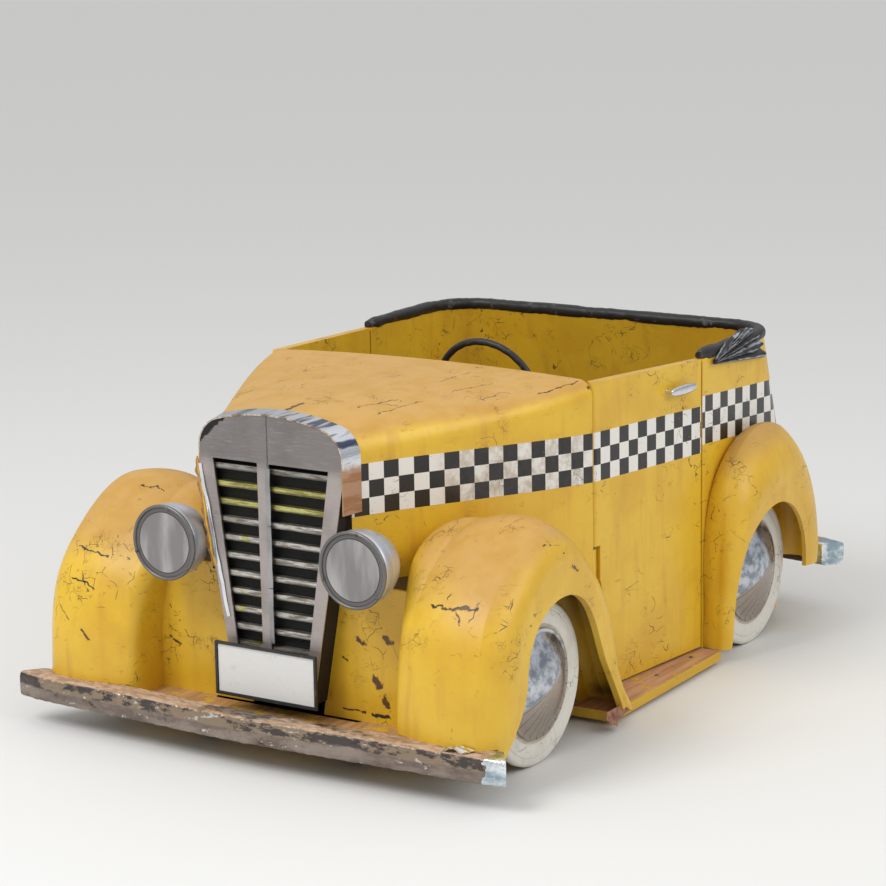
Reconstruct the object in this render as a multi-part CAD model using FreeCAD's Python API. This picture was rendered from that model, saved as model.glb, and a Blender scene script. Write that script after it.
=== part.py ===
"""Children's roundabout taxi car: open two-seat wooden body, turning wheels, two doors.

Millimetres. +Z is up, the front faces -Y, the car's left side is +X. The origin lies on the
ground under the middle of the car. Left-hand pieces are modelled and mirrored to the right.
"""
import math
import os

import FreeCAD
import Part

V = FreeCAD.Vector
LEFT, RIGHT = 1, -1

# ---------------------------------------------------------------- driving dimensions
BODY_HALF = 427.0          # outer face of the rear quarters, and of the doors at their rear edge
BODY_REAR = 700.0          # outer face of the back panel, below
TAIL_LEAN = 72.0           # the back panel's rim stands this far in front of its foot
TAIL_BEND = 425.0          # height where the back panel begins to lean
TAIL_TOP = 655.0           # rim of quarters and back panel
REAR_CORNER_R = 115.0      # plan radius of the two rear corners
BOARD = 20.0               # doors, quarters, back panel
SHELL = 14.0               # bent bonnet skin
GAP = 5.0                  # air between a moving board and its frame
SEAT_FIT = 0.3             # air between soft pieces and their neighbours

STEP_TOP = 30.0            # running board's top, which the floor lies on
STEP_THICK = 20.0
STEP_FRONT_X = 484.0       # running board's outer corners
STEP_REAR_X = 472.0
FLOOR_THICK = 18.0
FLOOR_TOP = STEP_TOP + FLOOR_THICK
FLOOR_INSET = 7.0          # floor edge inside the doors
BEARER_WIDE = 40.0
BEARER_X = 150.0           # inner face of a bearer
BOLT_R = 6.5               # holes in the bearers for bolting the car to a platform
BOLT_Y = (-600.0, 560.0)

WHEEL_R = 160.0
TYRE_WIDTH = 20.0
FRONT_FACE_X = 475.0       # outer face of the front tyres
REAR_FACE_X = 452.0        # outer face of the rear tyres
RIM_R = 116.0              # tyre's inner radius, outside of the wooden disc
HUBCAP_R = 108.0
HUBCAP_RISE = 30.0
AXLE_R = 10.0
AXLE_FIT = 0.08            # running clearance of wheel on axle, radial
FRONT_AXLE_Y = -506.0
REAR_AXLE_Y = 437.0

BONNET_FRONT_Y = -666.0
BONNET_TOP_FRONT = 666.0
BONNET_TOP_REAR = 686.0
BONNET_HALF_FRONT = 168.0
SHOULDER_FRONT_R = 58.0    # edge between the bonnet's top and its sides
SHOULDER_REAR_R = 32.0
# share of the way from the grille to the doors, share of the widening reached there
BONNET_SWEEP = [(0.0, 0.0), (0.205, 0.215), (0.436, 0.493), (0.668, 0.744),
                (0.803, 0.870), (0.909, 0.948), (1.0, 1.0)]

DOOR_FRONT_Y = -143.0
DOOR_REAR_Y = 248.0
DOOR_FRONT_HALF = 393.0    # outer face of the doors at their front edge
DOOR_TOP_FRONT = 671.0
DOOR_TOP_REAR = 655.0
DOOR_CUT_Z = 335.0         # below this the front edge slopes back beside the fender's tail
DOOR_CUT_RUN = 84.0        # how far back it has come at the door's foot
DOOR_OPEN = 70.0           # degrees
PIVOT_R = 5.0
PIVOT_FIT = 0.05
PIVOT_CLEAR = 4.0
PIVOT_FOOT = 200.0         # lower end of the pivot rod, in the kick panel's edge
PIVOT_TOP = 575.0

# each end: half length, mitre width, then how far its start, tip and heel are set back
FRONT_BUMPER_END = (573.0, 49.0, 20.0, 32.0, 81.0)
REAR_BUMPER_END = (522.0, 82.0, 24.0, 58.0, 96.0)
BUMPER_FRONT_Y = -815.0
BUMPER_DEPTH = 46.0
BUMPER_BOTTOM = 52.0
BUMPER_TOP = 104.0
REAR_BUMPER_RISE = 60.0    # the rear bumper sits this much higher than the front one

SHELF_TOP = 80.0           # tan ledge behind the front bumper
SHELF_THICK = 18.0
GRILLE_FACE_Y = -700.0
GRILLE_HALF = 165.0
HEADER_SHIFT = 5.0         # the hand-made header sits this far to the left of the middle
BAND_REAR_Y = -648.0
GRILLE_FOOT_HALF = 92.0
GRILLE_WAIST = 540.0       # upright above this, drawn in below
GRILLE_FOOT = 110.0
APRON_Y = -655.0
APRON_THICK = 16.0
APRON_HALF = 345.0
LEDGE_Z = 350.0            # top of the apron, beside the bonnet
LEDGE_THICK = 12.0
LEDGE_REAR_Y = -560.0

LAMP_X = 221.0
LAMP_Z = 404.0
LAMP_FRONT_Y = -748.0
LAMP_R = 75.0
LAMP_DEPTH = 112.0
LAMP_BARREL = 18.0         # straight part behind the rim
LAMP_WALL = 2.0

HELM = V(97.0, -60.0, 604.0)   # centre of the steering wheel
HELM_R = 125.0
HELM_RIM_R = 7.5
COLUMN_TILT = 12.0         # degrees above the horizontal
COLUMN_R = 11.0
DASH_THICK = 18.0
TOE_BOARD_Y = -403.0

FENDER_WALL = 14.0
REAR_FENDER_WALL = 9.0
REAR_FENDER_Y = 418.0      # middle of the rear wheel arch

SEAT_TOP = 318.0
CUSHION_TOP = 390.0

DOOR_LEAN = math.atan2(BODY_HALF - DOOR_FRONT_HALF, DOOR_REAR_Y - DOOR_FRONT_Y)
DOOR_LONG = math.hypot(BODY_HALF - DOOR_FRONT_HALF, DOOR_REAR_Y - DOOR_FRONT_Y)
DOOR_BOTTOM = STEP_TOP + GAP
TAIL_FRONT_Y = DOOR_REAR_Y + GAP + BOARD * math.sin(DOOR_LEAN)
BONNET_REAR_Y = DOOR_FRONT_Y - GAP
BONNET_HALF_REAR = DOOR_FRONT_HALF - GAP * math.tan(DOOR_LEAN)
COS_LEAN, SIN_LEAN = math.cos(DOOR_LEAN), math.sin(DOOR_LEAN)
HINGE = V(DOOR_FRONT_HALF - BOARD / 2 * (COS_LEAN - SIN_LEAN),
          DOOR_FRONT_Y + BOARD / 2 * (COS_LEAN + SIN_LEAN), 0)


# ---------------------------------------------------------------- helpers
def box(x0, x1, y0, y1, z0, z1):
    """Block between two corners."""
    return Part.makeBox(x1 - x0, y1 - y0, z1 - z0, V(x0, y0, z0))


def prism(points, direction):
    """Flat polygon pushed along a direction."""
    wire = Part.makePolygon([V(*p) for p in points] + [V(*points[0])])
    return Part.Face(wire).extrude(V(*direction))


def rod(radius, start, end):
    """Round bar between two points."""
    way = end - start
    return Part.makeCylinder(radius, way.Length, start, way)


def pin(radius, foot, top, centre=HINGE):
    """Upright round bar, by default on the hinge's axis."""
    return Part.makeCylinder(radius, top - foot, V(centre.x, centre.y, foot))


def path(points, close=True):
    """Wire through points; a pair of points is an arc's middle and its end."""
    edges = []
    here = points[0]
    for step in points[1:]:
        if isinstance(step, tuple):
            edges.append(Part.Arc(here, step[0], step[1]).toShape())
            here = step[1]
        else:
            edges.append(Part.LineSegment(here, step).toShape())
            here = step
    if close:
        edges.append(Part.LineSegment(here, points[0]).toShape())
    return Part.Wire(edges)


def turned(profile, centre, axis):
    """Solid of revolution; the profile's points are (distance from axis, 0, place along it)."""
    solid = Part.Face(path(profile)).revolve(V(0, 0, 0), V(0, 0, 1), 360)
    solid.Placement = FreeCAD.Placement(centre, FreeCAD.Rotation(V(0, 0, 1), axis))
    return solid


def ring(r, h):
    """Profile point of a turned piece."""
    return V(r, 0, h)


def handed(shape, side):
    """The piece itself on the left, its mirror image on the right."""
    return shape if side == LEFT else shape.mirror(V(0, 0, 0), V(1, 0, 0))


def both(shape):
    """A left-hand piece and its mirror image together."""
    return shape.fuse(handed(shape, RIGHT))


def hung(shape):
    """Put a shape drawn about the hinge, with the door along +Y, where the left door is."""
    turn = FreeCAD.Rotation(V(0, 0, 1), -math.degrees(DOOR_LEAN))
    shape.Placement = FreeCAD.Placement(HINGE, turn)
    return shape


NODES = {}


def keep(name, shape):
    """Name one finished node."""
    NODES[name] = shape


# ---------------------------------------------------------------- body plan
def side_half(y):
    """Half-width of the body's outer face at a place along its length."""
    if y >= DOOR_FRONT_Y:
        return min(BODY_HALF, DOOR_FRONT_HALF + (y - DOOR_FRONT_Y) * math.tan(DOOR_LEAN))
    way = (y - BONNET_FRONT_Y) / (BONNET_REAR_Y - BONNET_FRONT_Y)
    gain = 1.0
    for (w0, g0), (w1, g1) in zip(BONNET_SWEEP, BONNET_SWEEP[1:]):
        if way <= w1:
            gain = g0 + (g1 - g0) * (way - w0) / (w1 - w0)
            break
    return BONNET_HALF_FRONT + gain * (BONNET_HALF_REAR - BONNET_HALF_FRONT)


def sweep_stations():
    """Places along the bonnet where its plan is given."""
    length = BONNET_REAR_Y - BONNET_FRONT_Y
    return [BONNET_FRONT_Y + way * length for way, _ in BONNET_SWEEP]


def tail_plan(inset, height, rear, close=True):
    """Plan of the tail from the left door round to the right door, at one height."""
    half = BODY_HALF - inset
    back = rear - inset
    r = REAR_CORNER_R - inset
    k = r * (1 - math.sqrt(0.5))

    def at(x, y):
        return V(x, y, height)

    return path([at(half, TAIL_FRONT_Y), at(half, back - r), (at(half - k, back - k), at(half - r, back)),
                 at(-half + r, back), (at(-half + k, back - k), at(-half, back - r)),
                 at(-half, TAIL_FRONT_Y)], close)


# ---------------------------------------------------------------- floor and running gear
def floor_board():
    """Plywood floor on the body's own plan, drawn in at the doors and the tail wall."""
    left = [(side_half(y), y) for y in sweep_stations()]
    edge = BOARD + FLOOR_INSET
    left += [(side_half(y) - edge, y) for y in (BONNET_REAR_Y, DOOR_REAR_Y)]
    corner = REAR_CORNER_R - BOARD - SEAT_FIT
    mid = (BODY_HALF - REAR_CORNER_R, BODY_REAR - REAR_CORNER_R)
    left.append((BODY_HALF - edge, mid[1]))
    for degrees in (15, 30, 45, 60, 75, 90):
        a = math.radians(degrees)
        left.append((min(mid[0] + corner * math.cos(a), BODY_HALF - edge), mid[1] + corner * math.sin(a)))
    outline = left + [(-x, y) for x, y in reversed(left)]
    return prism([(x, y, STEP_TOP) for x, y in outline], (0, 0, FLOOR_THICK))


def chassis_frame():
    """Two long bearers under the floor, cross pieces, and blocks up to the front shelf."""
    low = STEP_TOP - STEP_THICK
    x1 = BEARER_X + BEARER_WIDE
    shelf = SHELF_TOP - SHELF_THICK
    rail = box(BEARER_X, x1, BONNET_FRONT_Y - 30, BODY_REAR - 5, low, STEP_TOP)
    leg = box(BEARER_X, x1, BONNET_FRONT_Y - 30, BONNET_FRONT_Y - 4, STEP_TOP, shelf)
    arm = box(BEARER_X, x1, BUMPER_FRONT_Y + BUMPER_DEPTH, BONNET_FRONT_Y - 30, shelf - SHELF_THICK, shelf)
    frame = both(rail.fuse(leg).fuse(arm))
    for y in BOLT_Y + (-60.0,):
        frame = frame.fuse(box(-BEARER_X, BEARER_X, y - 20, y + 20, low, STEP_TOP))
    for x in (-BEARER_X - BEARER_WIDE / 2, BEARER_X + BEARER_WIDE / 2):
        for y in BOLT_Y:
            frame = frame.cut(pin(BOLT_R, low, STEP_TOP, V(x, y, 0)))
    return frame.cut(bumper(True))


def axle_line(y, reach):
    """Ends of a line through both wheels' centres."""
    return V(-reach, y, WHEEL_R), V(reach, y, WHEEL_R)


def axle_supports(y):
    """Pair of wooden uprights standing on the floor, bored for the axle."""
    post = box(180, 206, y - 45, y + 45, FLOOR_TOP, WHEEL_R + 40)
    return both(post).cut(rod(AXLE_R, *axle_line(y, 300)))


def axle(y, face):
    """Steel bar across the car with a collar inside and a washer outside each wheel."""
    inner = face - TYRE_WIDTH
    bar = rod(AXLE_R, *axle_line(y, face))
    collar = rod(AXLE_R + 6, V(inner - 3.7, y, WHEEL_R), V(inner - 1, y, WHEEL_R))
    washer = rod(AXLE_R + 8, V(face - 4, y, WHEEL_R), V(face + 2, y, WHEEL_R))
    return bar.fuse(both(collar)).fuse(both(washer))


def wheel(y, face, side):
    """Whitewall tyre and the wooden disc inside it, both centred on the axle."""
    inner = face - TYRE_WIDTH
    centre = V(0, y, WHEEL_R)
    axis = V(1, 0, 0)
    tread = 6.0
    k = tread * (1 - math.sqrt(0.5))
    tyre = turned([ring(RIM_R, inner), ring(WHEEL_R - tread, inner),
                   (ring(WHEEL_R - k, inner + k), ring(WHEEL_R, inner + tread)),
                   ring(WHEEL_R, face - tread),
                   (ring(WHEEL_R - k, face - k), ring(WHEEL_R - tread, face)),
                   ring(RIM_R, face)], centre, axis)
    bore = AXLE_R + AXLE_FIT
    seat = HUBCAP_R - 4
    disc = turned([ring(bore, inner), ring(RIM_R, inner), ring(RIM_R, face - 2), ring(seat, face - 2),
                   ring(seat, face - 6), ring(bore, face - 6)], centre, axis)
    return handed(tyre, side), handed(disc, side)


def hubcap(y, face, side):
    """Spun cap: flat rolled rim, a step, and a shallow dome of one arc."""
    base = face - 2
    step = base + 4
    wall = 1.6
    dome = HUBCAP_R - 9
    sphere = (dome ** 2 + HUBCAP_RISE ** 2) / (2 * HUBCAP_RISE)
    half = dome / 2
    sag = sphere - math.sqrt(sphere ** 2 - half ** 2)
    top = step + HUBCAP_RISE
    cap = turned([ring(HUBCAP_R, base), ring(HUBCAP_R, step), ring(dome, step),
                  (ring(half, top - sag), ring(0, top)), ring(0, top - wall),
                  (ring(half, top - sag - wall), ring(dome - wall, step - wall)),
                  ring(HUBCAP_R - wall, step - wall), ring(HUBCAP_R - wall, base)],
                 V(0, y, WHEEL_R), V(1, 0, 0))
    return handed(cap, side)


# ---------------------------------------------------------------- bonnet
def bonnet_section(y, inset, bottom, half=None):
    """Arch across the bonnet: upright sides, round shoulders and a crowned top."""
    way = (y - BONNET_FRONT_Y) / (BONNET_REAR_Y - BONNET_FRONT_Y)
    half = (half or side_half(y)) - inset
    top = BONNET_TOP_FRONT + way * (BONNET_TOP_REAR - BONNET_TOP_FRONT) - inset
    r = SHOULDER_FRONT_R + way * (SHOULDER_REAR_R - SHOULDER_FRONT_R) - inset
    lean = math.radians(15.0 - 12.0 * way)
    chord = half - r + r * math.sin(lean)
    crown = chord / math.sin(lean)
    spring = top - crown * (1 - math.cos(lean)) - r * math.cos(lean)
    mid = (math.pi / 2 - lean) / 2
    right = [V(half, y, bottom), V(half, y, spring),
             V(half - r + r * math.cos(mid), y, spring + r * math.sin(mid)),
             V(chord, y, spring + r * math.cos(lean))]
    a, b, c, d = right
    fa, fb, fc, fd = [V(-p.x, p.y, p.z) for p in right]
    return path([a, b, (c, d), (V(0, y, top), fd), (fc, fb), fa])


def bonnet_hull(inset, bottom):
    """Whole bonnet and scuttle as one solid, drawn in by an inset."""
    return Part.makeLoft([bonnet_section(y, inset, bottom) for y in sweep_stations()], True, True)


def kick_panel():
    """Board under each door's front edge, cut parallel to the door's slope and carrying the rod."""
    step = BOARD / 2 - GAP
    slope = DOOR_CUT_RUN / (DOOR_CUT_Z - DOOR_BOTTOM)
    high = DOOR_CUT_Z - GAP
    low = FLOOR_TOP
    half = BOARD / 2
    front = -half - GAP - 3
    side = [(-half, front, low), (-half, -half + slope * (DOOR_CUT_Z - low) - GAP, low),
            (-half, step, DOOR_CUT_Z - BOARD / slope), (-half, step, high), (-half, front, high)]
    board = prism(side, (BOARD, 0, 0)).cut(pin(PIVOT_R, PIVOT_FOOT, high, V(0, 0, 0)))
    return hung(board.cut(pivot_room(DOOR_CUT_Z - BOARD / slope - BOARD, DOOR_CUT_Z)))


def pivot_room(low, high):
    """Air that the door's front edge turns through round its pivot, with a clearance."""
    near, far = BOARD / 2 - PIVOT_CLEAR, 2 * BOARD
    edge = Part.makePolygon([V(0, s, z) for s, z in ((near, low), (far, low), (far, high), (near, high),
                                                     (near, low))])
    turn = Part.Face(edge).revolve(V(0, 0, 0), V(0, 0, 1), -DOOR_OPEN)
    end = box(0, BOARD, near, far, low, high)
    end.rotate(V(0, 0, 0), V(0, 0, 1), -DOOR_OPEN)
    return turn.fuse(end)


def nose_flange():
    """Strip that closes the bonnet's mouth beside the grille, above the ledge."""
    inner = grille_half(LEDGE_Z)
    pts = [(inner, LEDGE_Z), (BONNET_HALF_FRONT, LEDGE_Z), (BONNET_HALF_FRONT, GRILLE_WAIST + BOARD),
           (GRILLE_HALF, GRILLE_WAIST + BOARD), (GRILLE_HALF, GRILLE_WAIST)]
    return prism([(x, BONNET_FRONT_Y, z) for x, z in pts], (0, SHELL, 0))


def bonnet():
    """Hollow bonnet and scuttle in one bent skin, open in front and to the cockpit."""
    skin = bonnet_hull(0, FLOOR_TOP).cut(bonnet_hull(SHELL, FLOOR_TOP - 30))
    skin = skin.fuse(both(kick_panel().cut(bonnet_hull(SHELL, 0)))).fuse(both(nose_flange()))
    skin = skin.cut(rod(AXLE_R + 4, *axle_line(FRONT_AXLE_Y, 600)))
    back = APRON_Y + APRON_THICK
    return skin.cut(box(-BODY_HALF, BODY_HALF, BONNET_FRONT_Y - 1, back, 0, LEDGE_Z))


def column_way():
    """Unit vector down the steering column."""
    a = math.radians(COLUMN_TILT)
    return V(0, -math.cos(a), -math.sin(a))


def column_foot():
    """Front end of the column, just through the dash board."""
    way = column_way()
    return HELM + way * ((HELM.y - BONNET_REAR_Y + 2 * DASH_THICK) / -way.y)


def dash_board():
    """Board across the cockpit under the scuttle, bored for the steering column."""
    half = BONNET_HALF_REAR
    rear = BONNET_REAR_Y - 2
    board = box(-half, half, rear - DASH_THICK, rear, 470, BONNET_TOP_REAR)
    board = board.common(bonnet_hull(SHELL + SEAT_FIT, 0))
    return board.cut(rod(COLUMN_R, HELM, column_foot()))


def toe_board():
    """Bulkhead between the bonnet's sides at the front of the footwell."""
    half = BODY_HALF
    board = box(-half, half, TOE_BOARD_Y - 17, TOE_BOARD_Y, FLOOR_TOP, 420)
    return board.common(bonnet_hull(SHELL + SEAT_FIT, 0))


# ---------------------------------------------------------------- fenders
# Each row is one arch section in the plane of the wheel's axis and a ray from its centre, at
# `angle` degrees up from straight ahead; the first rows stand below it at height z, angle 0.
# r is along the ray, x is sideways: lip (r) and out (x) are the wheel opening's edge, wall is the
# upright part above it, sx/sr the outer shoulder, cx/cr the crown, ix/ir the inner shoulder,
# inn (x) and low (r) the top of the inner flank and root (r) its foot.
FRONT_COLUMNS = "z angle lip wall out sx sr cx cr ix ir inn low root".split()
FRONT_FENDER = [
    (80, 0, 210, 8, 530, 492, 256, 410, 262, 330, 246, 306, 215, 139),
    (118, 0, 174, 14, 532, 494, 256, 410, 262, 330, 248, 306, 215, 139),
    (160, 0, 147, 24, 534, 495, 256, 410, 262, 332, 248, 306, 215, 139),
    (160, 30, 150, 30, 535, 494, 268, 412, 274, 332, 258, 300, 215, 139),
    (160, 60, 168, 40, 533, 486, 282, 414, 290, 330, 274, 262, 230, 190),
    (160, 90, 177, 55, 532, 482, 312, 418, 319, 340, 303, 236, 232, 205),
    (160, 120, 173, 34, 530, 486, 262, 434, 293, 372, 282, 300, 240, 215),
    (160, 150, 162, 24, 526, 486, 246, 442, 294, 396, 290, 344, 250, 230),
    (160, 180, 192, 16, 516, 484, 262, 446, 316, 406, 316, 364, 290, 262),
    (160, 197, 262, 12, 507, 480, 324, 450, 368, 414, 366, 378, 335, 305),
    (160, 208, 340, 10, 502, 478, 394, 450, 412, 418, 408, 386, 380, 352),
]

REAR_COLUMNS = "z angle lip wall top out crest inn root rise".split()
REAR_FENDER = [
    (28, 0, 142, 4, 160, 486, 460, 428, 151, 4),
    (94, 0, 142, 4, 160, 493, 463, 428, 151, 4),
    (160, 0, 142, 4, 161, 500, 466, 428, 152, 4),
    (160, 15, 144, 6, 167, 506, 468, 428, 157, 6),
    (160, 30, 150, 8, 186, 512, 470, 428, 172, 8),
    (160, 60, 158, 20, 262, 520, 470, 428, 215, 30),
    (160, 90, 163, 25, 320, 522, 466, 428, 255, 40),
    (160, 120, 163, 25, 328, 520, 462, 420, 255, 40),
    (160, 150, 162, 20, 300, 516, 455, 400, 235, 40),
    (160, 168, 164, 17, 292, 513, 453, 395, 225, 40),
    (160, 185, 168, 14, 290, 510, 451, 392, 222, 38),
]
QUARTER = math.sqrt(0.5)


def ray_point(pivot_y, row):
    """Function from (sideways place, distance along the row's ray) to a point."""
    a = math.radians(row["angle"])

    def at(x, r):
        return V(x, pivot_y - r * math.cos(a), row["z"] + r * math.sin(a))

    return at


def corner_arc(at, start, end, steep_first):
    """Arc's middle and end, bulging like a quarter circle squeezed into its box."""
    (x0, r0), (x1, r1) = start, end
    along, across = (QUARTER, 1 - QUARTER) if steep_first else (1 - QUARTER, QUARTER)
    return at(x0 + (x1 - x0) * across, r0 + (r1 - r0) * along), at(x1, r1)


def front_section(row, wall):
    """Front fender's section: outer wall, shoulder, crown, inner shoulder and flank."""
    at = ray_point(FRONT_AXLE_Y, row)
    rims = []
    for t in (0.0, wall):
        out, inn = row["out"] - t, row["inn"] + t
        knee = row["lip"] + row["wall"]
        shoulder = (row["sx"] - 0.4 * t, row["sr"] - t)
        inner = (row["ix"] + 0.4 * t, row["ir"] - t)
        rims.append([at(out, row["lip"]), at(out, knee), corner_arc(at, (out, knee), shoulder, True),
                     (at(row["cx"], row["cr"] - t), at(*inner)),
                     corner_arc(at, inner, (inn, row["low"]), False), at(inn, row["root"])])
    return close_section(*rims)


def rear_section(row, wall):
    """Rear fender's section: outer wall, one arc up to the crest and one down to the body."""
    at = ray_point(REAR_FENDER_Y, row)
    rims = []
    for t in (0.0, wall):
        out, inn = row["out"] - t, row["inn"] + t
        knee = row["lip"] + row["wall"]
        crest = (row["crest"], row["top"] - t)
        low = row["root"] + row["rise"]
        rims.append([at(out, row["lip"]), at(out, knee), corner_arc(at, (out, knee), crest, True),
                     corner_arc(at, crest, (inn, low), False), at(inn, row["root"])])
    return close_section(*rims)


def close_section(outer, inner):
    """One closed wire from an outer line and its inner copy, walked back."""
    ends = [p[1] if isinstance(p, tuple) else p for p in inner]
    back = [ends[-1]]
    for place in range(len(inner) - 1, 0, -1):
        step = inner[place]
        back.append((step[0], ends[place - 1]) if isinstance(step, tuple) else ends[place - 1])
    return path(outer + back)


def largest(shape):
    """The main solid of a shape that cuts have left with crumbs."""
    return max(shape.Solids, key=lambda solid: solid.Volume)


def fender(columns, table, section, wall, bottom):
    """Blown fender lofted round the wheel through its arch sections."""
    wires = [section(dict(zip(columns, row)), wall) for row in table]
    shell = Part.makeLoft(wires, True, False)
    return shell.cut(box(-50, 900, -1000, 1000, -400, bottom))


# ---------------------------------------------------------------- doors
def door_side(grow):
    """Side view of the left door as (along, height) from its hinge, grown by a margin."""
    front, rear = -BOARD / 2 - grow, DOOR_LONG - BOARD / 2 + grow
    half = BOARD / 2
    low = DOOR_BOTTOM - grow
    slope = DOOR_CUT_RUN / (DOOR_CUT_Z - DOOR_BOTTOM)
    return [(front, DOOR_TOP_FRONT + grow), (front, DOOR_CUT_Z - grow), (half - grow, DOOR_CUT_Z - grow),
            (half - grow, DOOR_CUT_Z - BOARD / slope), (-half + DOOR_CUT_RUN - grow, low), (rear, low),
            (rear, DOOR_TOP_REAR + grow)]


def door_swing(clear):
    """Air that the left door sweeps as it opens, with a clearance round it."""
    swept = None
    for x in (0.0, BOARD / 2, BOARD / 2 + clear):
        side = [V(x, max(s, 0.0), z) for s, z in door_side(clear)]
        wire = Part.makePolygon(side[2:] + [side[0], V(x, 0, DOOR_CUT_Z - clear), side[2]])
        swing = Part.Face(wire).revolve(V(0, 0, 0), V(0, 0, 1), -DOOR_OPEN - 4)
        swept = swing if swept is None else swept.fuse(swing)
    return hung(swept)


def door():
    """Plank door with a round pivot edge; its lower front corner clears the fender."""
    half = BOARD / 2
    board = prism([(-half, s, z) for s, z in door_side(0)], (BOARD, 0, 0))
    edge = box(-half - 1, half + 1, -half - 1, 0, 0, DOOR_TOP_FRONT + 10)
    edge = edge.cut(Part.makeCylinder(half, DOOR_TOP_FRONT + 20))
    bore = Part.makeCylinder(PIVOT_R + PIVOT_FIT, PIVOT_TOP + SEAT_FIT)
    return hung(board.cut(edge).cut(bore))


def hinge_rod():
    """Upright pivot rod: sunk in the kick panel's edge, its head inside the door's front edge."""
    return pin(PIVOT_R, PIVOT_FOOT, PIVOT_TOP)


def door_handle():
    """Rounded bar on two short feet."""
    s0, s1, z, half = 242.0, 338.0, 609.0, BOARD / 2
    bar = box(half + 12, half + 24, s0, s1, z - 11, z + 11)
    bar = bar.makeFillet(5.0, bar.Edges)
    for s in (s0 + 14, s1 - 14):
        bar = bar.fuse(rod(6, V(half, s, z), V(half + 13, s, z)))
    return hung(bar)


# ---------------------------------------------------------------- tail
def tail_hull(inset, top):
    """Whole tail as one solid, upright below and leaning forward above, drawn in by an inset."""
    lower = Part.Face(tail_plan(inset, STEP_TOP, BODY_REAR)).extrude(V(0, 0, TAIL_BEND - STEP_TOP))
    lean = TAIL_LEAN * (top - TAIL_BEND) / (TAIL_TOP - TAIL_BEND)
    upper = Part.makeLoft([tail_plan(inset, TAIL_BEND, BODY_REAR), tail_plan(inset, top, BODY_REAR - lean)],
                          True, True)
    return lower.fuse(upper)


def tail_wall():
    """Rear quarters and back panel as one bent wall, bored for the axle and split later."""
    wall = tail_hull(0, TAIL_TOP).cut(tail_hull(BOARD, TAIL_TOP))
    return wall.cut(rod(AXLE_R, *axle_line(REAR_AXLE_Y, 600)))


def rear_quarter(wall):
    """Left end of the tail wall, round the corner to the back panel's joint."""
    return wall.common(box(BODY_HALF - REAR_CORNER_R, 900, 0, 900, 0, 900))


def back_panel(wall):
    """Middle of the tail wall."""
    joint = BODY_HALF - REAR_CORNER_R
    return wall.common(box(-joint, joint, 0, 900, 0, 900))


# ---------------------------------------------------------------- front end
def front_apron():
    """Upright panel under the lamps and its top ledge."""
    inner = APRON_Y + APRON_THICK
    lap = 8.0
    low = LEDGE_Z - LEDGE_THICK
    sheet = [(GRILLE_FOOT_HALF - lap, SHELF_TOP), (APRON_HALF, SHELF_TOP), (APRON_HALF, low),
             (grille_half(low) - lap, low)]
    panel = prism([(x, APRON_Y, z) for x, z in sheet], (0, APRON_THICK, 0))
    ledge = prism([(0, APRON_Y, low), (APRON_HALF, APRON_Y, low), (APRON_HALF, inner, low),
                   (APRON_HALF - 40, LEDGE_REAR_Y, low), (0, LEDGE_REAR_Y, low)], (0, 0, LEDGE_THICK))
    ledge = ledge.cut(bonnet_hull(-SEAT_FIT, low - 1))
    ledge = ledge.cut(box(-1, BONNET_HALF_FRONT + 5, APRON_Y - 1, inner, 0, 900))
    return both(panel.fuse(ledge))


def front_shelf():
    """Tan ledge between the apron and the front bumper, on the chassis blocks."""
    low = SHELF_TOP - SHELF_THICK
    front = BUMPER_FRONT_Y + BUMPER_DEPTH
    shelf = box(-APRON_HALF, APRON_HALF, front, APRON_Y + APRON_THICK, low, SHELF_TOP)
    return shelf.cut(bonnet_hull(0, 0)).cut(bumper(True))


def grille_half(z):
    """Half-width of the grille frame at a height: upright above, drawn in below."""
    if z >= GRILLE_WAIST:
        return GRILLE_HALF
    way = (z - GRILLE_FOOT) / (GRILLE_WAIST - GRILLE_FOOT)
    return GRILLE_FOOT_HALF + way * (GRILLE_HALF - GRILLE_FOOT_HALF)


def taper(y, thick, high, low, inset):
    """Upright plate between two heights that follows the grille's outline."""
    left, right = [], []
    for z in (high, GRILLE_WAIST, low):
        way = (min(z, GRILLE_WAIST) - GRILLE_FOOT) / (GRILLE_WAIST - GRILLE_FOOT)
        half = grille_half(z) - inset
        left.append((HEADER_SHIFT * way + half, y, z))
        right.append((HEADER_SHIFT * way - half, y, z))
    return prism(left + right[::-1], (0, thick, 0))


def grille_frame():
    """Flat header, two side strips and a centre bar round two tall openings."""
    y0 = GRILLE_FACE_Y
    sheet = 6.0
    wire = bonnet_section(BONNET_FRONT_Y, 0, GRILLE_WAIST, GRILLE_HALF)
    wire.translate(V(HEADER_SHIFT, y0 - BONNET_FRONT_Y, 0))
    plate = Part.Face(wire).extrude(V(0, sheet, 0))
    plate = plate.fuse(taper(y0, sheet, GRILLE_WAIST + 1, GRILLE_FOOT, 0))
    top, low = 574.0, 200.0
    foot = grille_half(low) - 24
    for near, far, near_foot, far_foot in ((2, 140, -4, foot), (-25, -130, -24, -foot)):
        plate = plate.cut(prism([(near, y0 - 1, top), (far, y0 - 1, top), (far_foot, y0 - 1, low),
                                 (near_foot, y0 - 1, low)], (0, sheet + 2, 0)))
    depth = APRON_Y - y0
    sides = taper(y0, depth, 600.0, GRILLE_FOOT, 0).cut(taper(y0 - 1, depth + 2, 700.0, 0, 5))
    return plate.fuse(sides.cut(bonnet_hull(0, LEDGE_Z - LEDGE_THICK)))


def grille_slats():
    """Two ladders of horizontal slats on a dark backing board."""
    y0 = GRILLE_FACE_Y + 6
    depth = 16.0
    count, top, low = 11, 562.0, 212.0
    shape = taper(y0 + depth, 6, 590.0, 180.0, 8)
    for n in range(count):
        z = top - n * (top - low) / (count - 1)
        half = grille_half(z) - 14
        shape = shape.fuse(box(-half, half, y0, y0 + depth, z - 9, z + 2))
    return shape


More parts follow.
